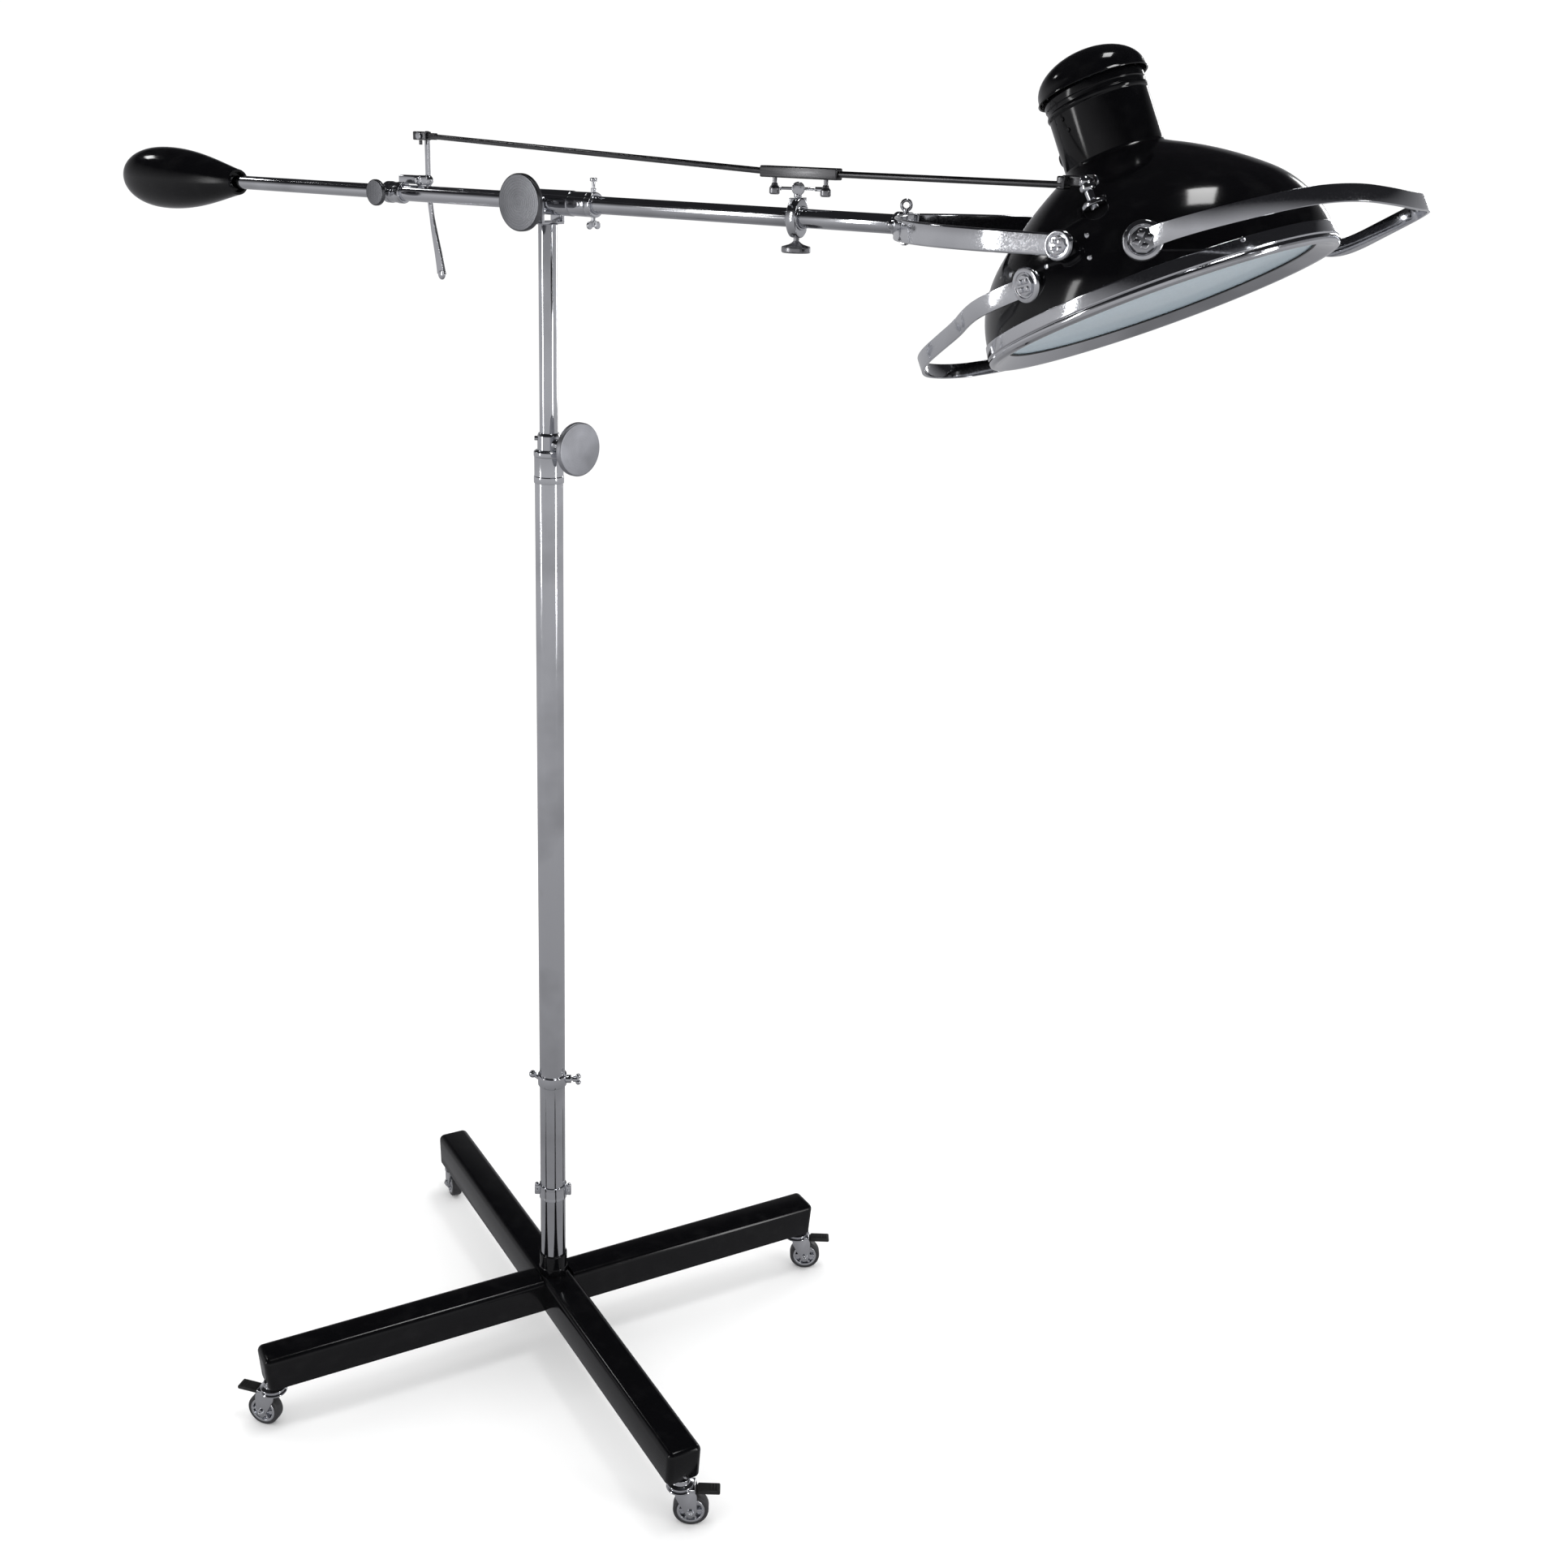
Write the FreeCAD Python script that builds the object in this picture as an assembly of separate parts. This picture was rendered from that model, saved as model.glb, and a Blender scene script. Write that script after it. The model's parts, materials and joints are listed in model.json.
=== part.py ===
"""Counterbalanced boom lamp on a castered cross base.

Millimetres, +Z up, origin on the floor under the mast axis, +X along the boom towards the shade.
Every sub-part is written to parts/NAME.step.
"""
import FreeCAD, Part
import math
import os

V = FreeCAD.Vector
ORIGIN = V(0, 0, 0)
X = V(1, 0, 0)
Y = V(0, 1, 0)
Z = V(0, 0, 1)

# ---------------------------------------------------------------- fits
RUN = 0.08                # radial clearance of a shaft or tube that turns or slides
FACE_GAP = 0.3            # gap between faces that pass each other
TIP_GAP = 0.2             # gap left in front of a clamping screw that is not tightened

# ---------------------------------------------------------------- base
BASE_YAW = -24.0          # direction of the first arm, measured from the boom
CASTER_RADIUS = 467.0     # mast axis to caster swivel axis
ARM_WIDTH = 54.0
ARM_BOTTOM = 80.0
ARM_HEIGHT = 55.0
ARM_SHOULDER = 11.0       # bevel along the upper edges
ARM_WALL = 4.0
CASTER_BLOCK = 44.0       # solid length at an arm end, for the caster
ARM_OVERHANG = 17.0       # arm end beyond the caster axis
SOCKET_OUTER = 46.0       # two-stage socket that holds the mast
SOCKET_SEAM = 148.0
SOCKET_TOP = 171.0
MAST_FOOT = 150.0         # height of the lower end of the mast tube
SPIGOT_LENGTH = 110.0     # engagement of the spigot in the mast tube

# ---------------------------------------------------------------- casters
WHEEL_DIAMETER = 52.0
WHEEL_WIDTH = 20.0
CASTER_TRAIL = 16.0
AXLE_DIAMETER = 6.0
FORK_WALL = 3.0
KINGPIN_DIAMETER = 10.0
BRAKE_LENGTH = 42.0
BRAKE_WIDTH = 20.0
CASTER_HEADINGS = (37.0, 37.0, 150.0, 200.0)

# ---------------------------------------------------------------- mast
MAST_OUTER = 40.0
MAST_WALL = 2.0
MAST_TOP = 1484.0
INNER_TUBE = 25.4
INNER_WALL = 2.0
INNER_FOOT = 1100.0
COLLAR_FOOT = 1441.0
COLLAR_STEP = 1487.0
COLLAR_TOP = 1511.0
COLLAR_OUTER = 42.5
COLLAR_NECK = 32.0
LOCK_HEIGHT = 1496.0
LOCK_YAW = -6.0
CLIP_HEIGHT = 288.0
CLIP_WIDTH = 24.0
HOOK_HEIGHT = 491.0
HOOK_WIDTH = 18.0
CLIP_YAW = 37.0           # direction of the clip and hook ears

# ---------------------------------------------------------------- large disc knobs
KNOB_DIAMETER = 74.0
KNOB_THICKNESS = 10.0
KNOB_REACH = 56.0         # axis of the joint to the face of the disc

# ---------------------------------------------------------------- boom
PIVOT_HEIGHT = 1820.0
BOOM_OUTER = 22.5
BOOM_BORE = 20.0
BOOM_REAR = -296.0
BOOM_FRONT = 420.0
SLEEVE_OUTER = 33.0
SLEEVE_REAR = -16.0
SLEEVE_SEAM = 48.0
SLEEVE_FRONT = 77.5
EAR_THICKNESS = 5.0
EAR_WIDTH = 22.0
FORK_DEPTH = 24.5         # pivot axis down to the floor of the fork
FORK_HEAD = 4.0           # plate under the fork's ears
TRUNNION = 8.0
STOP_COLLAR_LENGTH = 10.0

# ---------------------------------------------------------------- counterweight
ROD_INNER_END = -130.0
ROD_COLLAR_REAR = -314.0
ROD_COLLAR_LENGTH = 36.0
ROD_COLLAR_OUTER = 30.0
WEIGHT_END = -925.0
WEIGHT_LENGTH = 272.0
WEIGHT_RADIUS = 47.0
WEIGHT_NECK = 19.0        # radius at the rod end
WEIGHT_WALL = 3.0
BALLAST_LENGTH = 80.0

# ---------------------------------------------------------------- arm extension
SPIGOT_INSIDE = 130.0
YOKE_COLLAR_REAR = 555.0
YOKE_COLLAR_LENGTH = 20.0
YOKE_COLLAR_OUTER = 29.0
CLAMP_LENGTH = 14.0
CLAMP_HEIGHT = 47.0
CLAMP_WIDTH = 32.0

# ---------------------------------------------------------------- yoke and shade
SHADE_PIVOT = 865.0       # along the boom
SHADE_TILT = 25.2         # lean of the shade at rest
YOKE_INSIDE = 179.5       # mid-plane to the inner face of a prong
PRONG_STRAIGHT = 70.0     # straight end of a prong behind the pivot
YOKE_THICKNESS = 5.0
PRONG_HEIGHT = 25.0
PRONG_BOSS = 30.0
YOKE_BOLT = 10.0          # diameter of the shade's pivot bolts
DOME_RADIUS = 188.0
DOME_FOOT = -66.0         # rim of the dome, below the pivot axis
SHOULDER = (150.0, 21.0)  # radius and height where the side arc meets the crown arc
NECK_FOOT = 88.0
SHEET = 1.2
NECK_RADIUS = 53.5
NECK_TOP = 163.0
NECK_BEAD = 151.0
CAP_RADIUS = 60.0
CAP_FOOT = 168.0
CAP_RISE = 39.0
RING_RADIUS = 190.0
RING_TOP = -55.0
RING_FOOT = -78.0
RING_WALL = 1.6
LENS_RADIUS = 172.0
LENS_THICKNESS = 4.0
LENS_SEAT = -66.0
LENS_OPENING = 167.0
HANDLE_WIDTH = 18.0
HANDLE_THICKNESS = 3.0
FRONT_BOLT = (65.0, -27.0)     # direction round the shade, height on the shade axis
FRONT_TIP = (280.0, -66.0)     # reach from the shade axis, height on the shade axis
REAR_BOLT = (106.0, -22.0)
REAR_TIP = (294.0, -38.0)
ROSETTE = (40.0, 5.0)          # diameter and thickness of the handle rosettes

# ---------------------------------------------------------------- lever and link
LEVER_X = -250.0
LEVER_Y = 17.0            # inner face of the lever
LEVER_RISE = 18.0         # lever pivot above the boom axis
LEVER_HAND = (30.0, -128.0)    # end of the lever's grip from its pivot
LEVER_THICKNESS = 5.0
LEVER_WIDTH = 7.0
LEVER_PIN = 5.0           # diameter of the lever's two pins
CRANK = 60.0              # length of both cranks of the parallelogram
LINK_ROD = 7.0
LINK_END = 12.0           # height of the link's end blocks
LINK_Y = -140.0
COUPLER_REAR = 463.0
COUPLER_LENGTH = 105.0
COUPLER_SIZE = 13.0
COUPLER_RISE = 56.0       # coupler axis above the boom axis
FRONT_ROD_INSIDE = 82.0
OPEN_PIVOT = 0.5          # radial clearance of the link's last pivot
LINK_PIN = 7.0            # diameter of the pin on the shade

# ---------------------------------------------------------------- lamp inside the shade
BULB_RADIUS = 40.0
BULB_LENGTH = 110.0
HOLDER_RADIUS = 21.0
HOLDER_LENGTH = 55.0
HOLDER_TOP = 120.0

PARTS = {}


def keep(name, *solids):
    """Store one or more solids under a node name."""
    PARTS[name] = solids[0] if len(solids) == 1 else Part.makeCompound(list(solids))


def save_all():
    os.makedirs("parts", exist_ok=True)
    for name, shape in PARTS.items():
        shape.exportStep(os.path.join("parts", name + ".step"))


# ================================================================ helpers
def rod(radius, start, end):
    axis = end - start
    return Part.makeCylinder(radius, axis.Length, start, axis)


def tube(outer, inner, start, end):
    return rod(outer, start, end).cut(rod(inner, start, end))


def box(low, high):
    return Part.makeBox(high.x - low.x, high.y - low.y, high.z - low.z, low)


def turned(points, base=ORIGIN, axis=Z, start=X):
    """Solid of revolution from (radius, height) points about an axis."""
    wire = Part.makePolygon([base + start * r + axis * h for r, h in points + points[:1]])
    return Part.Face(wire).revolve(base, axis, 360)


def polar(radius, angle, z=0.0):
    return V(radius * math.cos(math.radians(angle)), radius * math.sin(math.radians(angle)), z)


def spun(shape, angle, centre=ORIGIN, axis=Z):
    copy = shape.copy()
    copy.rotate(centre, axis, angle)
    return copy


def moved(shape, offset):
    copy = shape.copy()
    copy.translate(offset)
    return copy


def edges_where(shape, test):
    return [edge for edge in shape.Edges if test(edge)]


def boom(x, y=0.0, z=0.0):
    """A point given from the boom axis."""
    return V(x, y, PIVOT_HEIGHT + z)


def on_head(shape):
    """Place a shape modelled about the shade axis, with the tilt axis at the origin."""
    return moved(spun(shape, -SHADE_TILT, ORIGIN, Y), boom(SHADE_PIVOT))


def disc_knob(centre, direction, reach, start, diameter, thickness, stem, bore=0.0, bore_end=0.0):
    """A disc on a stem that points away from a joint; an open bore takes a stud."""
    face = centre + direction * reach
    back = face - direction * thickness
    disc = rod(diameter / 2, back, face)
    rim = edges_where(disc, lambda e: e.Length > math.pi * diameter * 0.9)
    disc = disc.makeFillet(thickness * 0.25, rim)
    hub = Part.makeCone(stem * 2.2, stem * 1.3, thickness * 0.9, back, direction * -1)
    body = disc.fuse(hub).fuse(rod(stem, centre + direction * start, back))
    if bore:
        body = body.cut(rod(bore, centre + direction * (start - 1), centre + direction * bore_end))
    return body.removeSplitter()


# ================================================================ base
def arm_profile():
    """Cross-section of an arm in the YZ plane, with bevelled upper edges."""
    half = ARM_WIDTH / 2
    top = ARM_BOTTOM + ARM_HEIGHT
    s = ARM_SHOULDER
    points = [(-half, ARM_BOTTOM), (half, ARM_BOTTOM), (half, top - s), (half - s * 0.25, top - s * 0.45),
              (half - s, top), (-half + s, top), (-half + s * 0.25, top - s * 0.45), (-half, top - s)]
    return Part.makePolygon([V(0, y, z) for y, z in points + points[:1]])


def base_beam(start):
    """Hollow bar along +X from a start distance to its bevelled end over a caster."""
    end = CASTER_RADIUS + ARM_OVERHANG
    top = ARM_BOTTOM + ARM_HEIGHT
    bar = moved(Part.Face(arm_profile()).extrude(X * (end - start)), X * start)
    corners = [V(end - 2 * ARM_SHOULDER, -ARM_WIDTH, top), V(end, -ARM_WIDTH, top - ARM_SHOULDER),
               V(end + 1, -ARM_WIDTH, top + 1), V(end - 2 * ARM_SHOULDER, -ARM_WIDTH, top)]
    bar = bar.cut(Part.Face(Part.makePolygon(corners)).extrude(Y * 2 * ARM_WIDTH))
    upright = edges_where(bar, lambda e: abs(e.tangentAt(e.FirstParameter).z) > 0.99
                          and e.BoundBox.XMin > end - 1)
    bar = bar.makeFillet(ARM_SHOULDER * 0.6, upright)
    half = ARM_WIDTH / 2 - ARM_WALL
    room = box(V(start + (ARM_WALL if start > 0 else 0), -half, ARM_BOTTOM + ARM_WALL),
               V(end - CASTER_BLOCK, half, top - ARM_SHOULDER))
    return bar.cut(room)


def caster_seat(angle):
    """Swivel race, kingpin and its head under an arm end."""
    race_foot = ARM_BOTTOM - 14.0
    seat = rod(20.0, V(0, 0, race_foot + FACE_GAP), V(0, 0, ARM_BOTTOM))
    pin = rod(KINGPIN_DIAMETER / 2, V(0, 0, race_foot - 8.0), V(0, 0, race_foot + 1.0))
    head = rod(8.0, V(0, 0, race_foot - 8.0), V(0, 0, race_foot - 5.0 - FACE_GAP))
    return moved(seat.fuse(pin).fuse(head), polar(CASTER_RADIUS, angle))


def caster_fork():
    """Crown, two cheeks and the axle, with the wheel trailing along +X."""
    crown_top = ARM_BOTTOM - 14.0
    crown_foot = crown_top - 5.0
    axle = WHEEL_DIAMETER / 2
    inside = WHEEL_WIDTH / 2 + 1.5
    outside = inside + FORK_WALL
    crown = rod(21.0, V(0, 0, crown_foot), V(0, 0, crown_top))
    crown = crown.fuse(box(V(0, -outside, crown_foot), V(CASTER_TRAIL + 6, outside, crown_top)))
    crown = crown.cut(rod(KINGPIN_DIAMETER / 2 + RUN, V(0, 0, crown_foot - 1), V(0, 0, crown_top + 1)))
    for side in (-1, 1):
        low = min(side * inside, side * outside)
        outline = Part.makePolygon([V(-6, low, crown_foot), V(CASTER_TRAIL + 6, low, crown_foot),
                                    V(CASTER_TRAIL + 8, low, axle), V(CASTER_TRAIL - 8, low, axle),
                                    V(-6, low, crown_foot)])
        cheek = Part.Face(outline).extrude(Y * FORK_WALL)
        cheek = cheek.fuse(rod(8.0, V(CASTER_TRAIL, low, axle), V(CASTER_TRAIL, low + FORK_WALL, axle)))
        crown = crown.fuse(cheek)
    pin = rod(AXLE_DIAMETER / 2, V(CASTER_TRAIL, -outside, axle), V(CASTER_TRAIL, outside, axle))
    head = rod(AXLE_DIAMETER, V(CASTER_TRAIL, outside, axle), V(CASTER_TRAIL, outside + 2.5, axle))
    nut = rod(AXLE_DIAMETER, V(CASTER_TRAIL, -outside - 2.5, axle), V(CASTER_TRAIL, -outside, axle))
    brake_pin = rod(1.5, brake_hinge() - Y * outside, brake_hinge() + Y * outside)
    return crown.fuse(pin).fuse(head).fuse(nut).fuse(brake_pin).removeSplitter()


def caster_wheel():
    axle = WHEEL_DIAMETER / 2
    half = WHEEL_WIDTH / 2
    rim = axle - 6.0
    points = [(AXLE_DIAMETER / 2 + RUN, -half), (10.0, -half), (12.0, -half + 2), (rim, -half + 2),
              (rim + 1.5, -half), (axle - 2, -half), (axle, -half + 2), (axle, half - 2), (axle - 2, half),
              (rim + 1.5, half), (rim, half - 2), (12.0, half - 2), (10.0, half),
              (AXLE_DIAMETER / 2 + RUN, half)]
    return turned(points, V(CASTER_TRAIL, 0, axle), Y, X)


def caster_brake():
    """Foot tab on a barrel that turns on a pin between the cheeks and reaches past the wheel."""
    inside = WHEEL_WIDTH / 2 + 1.5 - FACE_GAP
    hinge = brake_hinge()
    tip = CASTER_TRAIL + BRAKE_LENGTH
    barrel = rod(3.5, hinge - Y * inside, hinge + Y * inside)
    tab = box(V(hinge.x, -BRAKE_WIDTH / 2, hinge.z - 2), V(tip, BRAKE_WIDTH / 2, hinge.z + 1))
    upright = edges_where(tab, lambda e: abs(e.tangentAt(e.FirstParameter).z) > 0.99)
    tab = tab.makeFillet(5.0, [e for e in upright if e.BoundBox.XMin > tip - 1])
    return barrel.fuse(tab).cut(rod(1.5 + RUN, hinge - Y * 20, hinge + Y * 20)).removeSplitter()


def brake_hinge():
    return V(CASTER_TRAIL, 0, WHEEL_DIAMETER + 5.5)


def mast_socket():
    """Two-stage collar on the beam with a spigot inside the mast tube."""
    top = ARM_BOTTOM + ARM_HEIGHT
    outer = MAST_OUTER / 2
    collar = rod(SOCKET_OUTER / 2, V(0, 0, top), V(0, 0, SOCKET_SEAM))
    upper = tube(SOCKET_OUTER / 2 - 1, outer, V(0, 0, SOCKET_SEAM), V(0, 0, SOCKET_TOP))
    spigot = rod(outer - MAST_WALL, V(0, 0, SOCKET_SEAM - 1), V(0, 0, MAST_FOOT + SPIGOT_LENGTH))
    return collar.cut(rod(outer, V(0, 0, MAST_FOOT), V(0, 0, SOCKET_TOP))).fuse(upper).fuse(spigot)


def build_base():
    long_bar = base_beam(0.0)
    keep("base_beam", spun(long_bar, BASE_YAW).fuse(spun(long_bar, BASE_YAW + 180)).removeSplitter())
    keep("base_arm_rear", spun(base_beam(ARM_WIDTH / 2), BASE_YAW + 90))
    keep("base_arm_front", spun(base_beam(ARM_WIDTH / 2), BASE_YAW + 270))
    keep("mast_socket", mast_socket().removeSplitter())
    keep("caster_stems", *[caster_seat(BASE_YAW + 90.0 * index) for index in range(4)])
    for index, heading in enumerate(CASTER_HEADINGS):
        number = str(index + 1)
        place = polar(CASTER_RADIUS, BASE_YAW + 90.0 * index)
        keep("caster_fork_" + number, moved(spun(caster_fork(), heading), place))
        keep("caster_wheel_" + number, moved(spun(caster_wheel(), heading), place))
        keep("caster_brake_" + number, moved(spun(caster_brake(), heading), place))


# ================================================================ mast
def band(radius_inside, wall, low, high):
    return tube(radius_inside + wall, radius_inside, V(0, 0, low), V(0, 0, high))


def build_mast():
    outer = MAST_OUTER / 2
    inner = INNER_TUBE / 2
    keep("mast_outer_tube", tube(outer, outer - MAST_WALL, V(0, 0, MAST_FOOT), V(0, 0, MAST_TOP)))
    collar = turned([(outer, COLLAR_FOOT), (COLLAR_OUTER / 2, COLLAR_FOOT),
                     (COLLAR_OUTER / 2, COLLAR_STEP - 2), (COLLAR_OUTER / 2 - 2, COLLAR_STEP),
                     (COLLAR_NECK / 2, COLLAR_STEP),
                     (COLLAR_NECK / 2, COLLAR_TOP - 4), (COLLAR_NECK / 2 - 2, COLLAR_TOP),
                     (inner + RUN, COLLAR_TOP), (inner + RUN, MAST_TOP), (outer, MAST_TOP)])
    toward = polar(1, LOCK_YAW)
    lift = V(0, 0, LOCK_HEIGHT)
    collar = collar.fuse(rod(8.0, lift + toward * (inner + 1), lift + toward * 25.0))
    hole = rod(4.0 + RUN, lift + toward * (inner - 1), lift + toward * 26.0)
    keep("mast_collar", collar.cut(hole).removeSplitter())
    keep("mast_lock_knob", disc_knob(lift, toward, KNOB_REACH + 10, inner + TIP_GAP, KNOB_DIAMETER,
                                     KNOB_THICKNESS, 4.0))
    top = PIVOT_HEIGHT - FORK_DEPTH - FORK_HEAD - FACE_GAP
    slider = rod(inner, V(0, 0, INNER_FOOT), V(0, 0, top))
    slider = slider.fuse(rod(outer - MAST_WALL - RUN, V(0, 0, INNER_FOOT), V(0, 0, INNER_FOOT + 40)))
    slider = slider.cut(rod(inner - INNER_WALL, V(0, 0, INNER_FOOT - 1), V(0, 0, top + 1)))
    keep("mast_inner_tube", slider.removeSplitter())


def build_mast_clips():
    outer = MAST_OUTER / 2
    ear = polar(1, CLIP_YAW)
    low, high = V(0, 0, CLIP_HEIGHT - CLIP_WIDTH / 2), V(0, 0, CLIP_HEIGHT + CLIP_WIDTH / 2)
    ring = band(outer, 2.0, low.z, high.z)
    for side in (-1, 1):
        lug = box(V(outer + 1, -4, CLIP_HEIGHT - 8), V(outer + 9, 4, CLIP_HEIGHT + 8))
        ring = ring.fuse(spun(lug, CLIP_YAW + (0 if side > 0 else 180)))
    keep("cable_clip_ring", ring.removeSplitter())

    centre = V(0, 0, HOOK_HEIGHT)
    ring = band(outer, 3.0, HOOK_HEIGHT - HOOK_WIDTH / 2, HOOK_HEIGHT + HOOK_WIDTH / 2)
    boss = rod(6.5, centre + ear * (outer + 1), centre + ear * (outer + 10))
    hole = rod(3.0 + RUN, centre + ear * (outer - 1), centre + ear * (outer + 11))
    arm = rod(3.0, centre - ear * (outer + 1), centre - ear * (outer + 10) + Z * 6)
    ball = Part.makeSphere(6.0, centre - ear * (outer + 11) + Z * 7)
    keep("cord_hook_clamp", ring.fuse(boss).cut(hole).fuse(arm).fuse(ball).removeSplitter())
    screw = rod(3.0, centre + ear * (outer + TIP_GAP), centre + ear * (outer + 22))
    wing = box(V(outer + 14, -2, HOOK_HEIGHT - 9), V(outer + 26, 2, HOOK_HEIGHT + 9))
    wing = wing.makeFillet(3.0, edges_where(wing, lambda e: abs(e.tangentAt(e.FirstParameter).y) > 0.99
                                            and e.BoundBox.XMin > outer + 25))
    keep("cord_hook_wing", screw.fuse(spun(wing, CLIP_YAW)).removeSplitter())


# ================================================================ tee at the top of the mast
def build_tee():
    sleeve = SLEEVE_OUTER / 2
    ear_in = sleeve + 0.4 + FACE_GAP
    ear_out = ear_in + EAR_THICKNESS
    inner = INNER_TUBE / 2
    floor = -FORK_DEPTH
    head = rod(inner - INNER_WALL - RUN, boom(0, 0, floor - 60), boom(0, 0, floor - FORK_HEAD + 1))
    corner = boom(EAR_WIDTH / 2, ear_out, floor)
    head = head.fuse(box(boom(-EAR_WIDTH / 2, -ear_out, floor - FORK_HEAD), corner))
    for side in (-1, 1):
        low, high = sorted((side * ear_in, side * ear_out))
        ear = box(boom(-EAR_WIDTH / 2, low, floor - 1), boom(EAR_WIDTH / 2, high, 0))
        head = head.fuse(ear).fuse(rod(EAR_WIDTH / 2, boom(0, low), boom(0, high)))
    head = head.cut(rod(TRUNNION / 2 + RUN, boom(0, -ear_out - 1), boom(0, ear_out + 1)))
    keep("mast_head_fork", head.removeSplitter())

    body = rod(sleeve, boom(SLEEVE_REAR), boom(SLEEVE_SEAM))
    body = body.fuse(rod(sleeve - 0.8, boom(SLEEVE_SEAM), boom(SLEEVE_FRONT)))
    body = body.fuse(rod(10.0, boom(0, -sleeve - 0.4), boom(0, sleeve + 0.4)))
    body = body.fuse(rod(TRUNNION / 2, boom(0, -ear_out - 11), boom(0, ear_out + 4)))
    body = body.fuse(rod(TRUNNION, boom(0, ear_out + FACE_GAP), boom(0, ear_out + 5)))
    oil_screw = rod(3.5, boom(SLEEVE_SEAM + 20, -sleeve + 2), boom(SLEEVE_SEAM + 20, -sleeve - 1))
    bore = rod(BOOM_OUTER / 2 + RUN, boom(SLEEVE_REAR - 1), boom(SLEEVE_FRONT + 1))
    keep("pivot_sleeve", body.fuse(oil_screw).cut(bore).removeSplitter())
    keep("tilt_lock_knob", disc_knob(boom(0), Y * -1, KNOB_REACH, ear_out + FACE_GAP, KNOB_DIAMETER,
                                     KNOB_THICKNESS, 7.0, TRUNNION / 2 + RUN, ear_out + 12))


# ================================================================ boom tube and its collars
def build_boom():
    outer = BOOM_OUTER / 2
    bore = BOOM_BORE / 2
    knob_x = ROD_COLLAR_REAR + ROD_COLLAR_LENGTH / 2
    clamp_x = BOOM_FRONT - CLAMP_LENGTH / 2
    tube_body = tube(outer, bore, boom(BOOM_REAR), boom(BOOM_FRONT))
    rear_hole = rod(3.0 + RUN, boom(knob_x, -ROD_COLLAR_OUTER), boom(knob_x, 0))
    front_hole = rod(3.5 + RUN, boom(clamp_x, 0, -CLAMP_HEIGHT), boom(clamp_x))
    keep("boom_tube", tube_body.cut(rear_hole).cut(front_hole))

    collar_front = boom(ROD_COLLAR_REAR + ROD_COLLAR_LENGTH)
    collar = tube(ROD_COLLAR_OUTER / 2, outer, boom(ROD_COLLAR_REAR + 4), collar_front)
    lip = tube(ROD_COLLAR_OUTER / 2 - 2, bore, boom(ROD_COLLAR_REAR), boom(ROD_COLLAR_REAR + 4))
    gland = tube(outer + 1, bore, boom(ROD_COLLAR_REAR + 3), boom(BOOM_REAR))
    collar = collar.fuse(lip).fuse(gland).fuse(rod(6.0, boom(knob_x, -outer - 1), boom(knob_x, -20.0)))
    bracket = box(boom(knob_x + 8, -5, 9.5), boom(LEVER_X + 7, LEVER_Y - 4, LEVER_RISE + 6))
    outside = LEVER_Y + LEVER_THICKNESS + FACE_GAP
    pin = rod(LEVER_PIN / 2, boom(LEVER_X, 0, LEVER_RISE), boom(LEVER_X, outside + 2, LEVER_RISE))
    head = rod(LEVER_PIN, boom(LEVER_X, outside, LEVER_RISE), boom(LEVER_X, outside + 3, LEVER_RISE))
    boss = rod(7.0, boom(LEVER_X, 0, LEVER_RISE), boom(LEVER_X, LEVER_Y - FACE_GAP, LEVER_RISE))
    collar = collar.fuse(bracket).fuse(boss).fuse(pin).fuse(head)
    collar = collar.cut(rear_hole).cut(rod(outer, boom(BOOM_REAR), boom(0)))
    keep("rod_collar", collar.removeSplitter())
    keep("rod_lock_knob", disc_knob(boom(knob_x), Y * -1, 42.0, bore + TIP_GAP, 36.0, 7.0, 3.0))

    stop_rear = SLEEVE_FRONT + FACE_GAP
    stop_x = stop_rear + STOP_COLLAR_LENGTH / 2
    stop = tube(16.0, outer, boom(stop_rear), boom(stop_rear + STOP_COLLAR_LENGTH))
    post = rod(2.2, boom(stop_x, 0, 15), boom(stop_x, 0, 30))
    post = post.fuse(rod(5.0, boom(stop_x, 0, 30), boom(stop_x, 0, 34)))
    stop_hole = rod(3.0 + RUN, boom(stop_x, 0, -outer + 1), boom(stop_x, 0, -20))
    keep("boom_stop_collar", stop.cut(stop_hole).fuse(post).removeSplitter())
    wing = rod(3.0, boom(stop_x, 0, -outer - TIP_GAP), boom(stop_x, 0, -24))
    for side in (-1, 1):
        lobe = rod(5.0, boom(stop_x - 2, side * 7, -27), boom(stop_x + 2, side * 7, -27))
        wing = wing.fuse(lobe)
    wing = wing.fuse(box(boom(stop_x - 2, -7, -28), boom(stop_x + 2, 7, -22)))
    keep("stop_collar_wing", wing.removeSplitter())
    build_arm_clamp(clamp_x)


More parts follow.
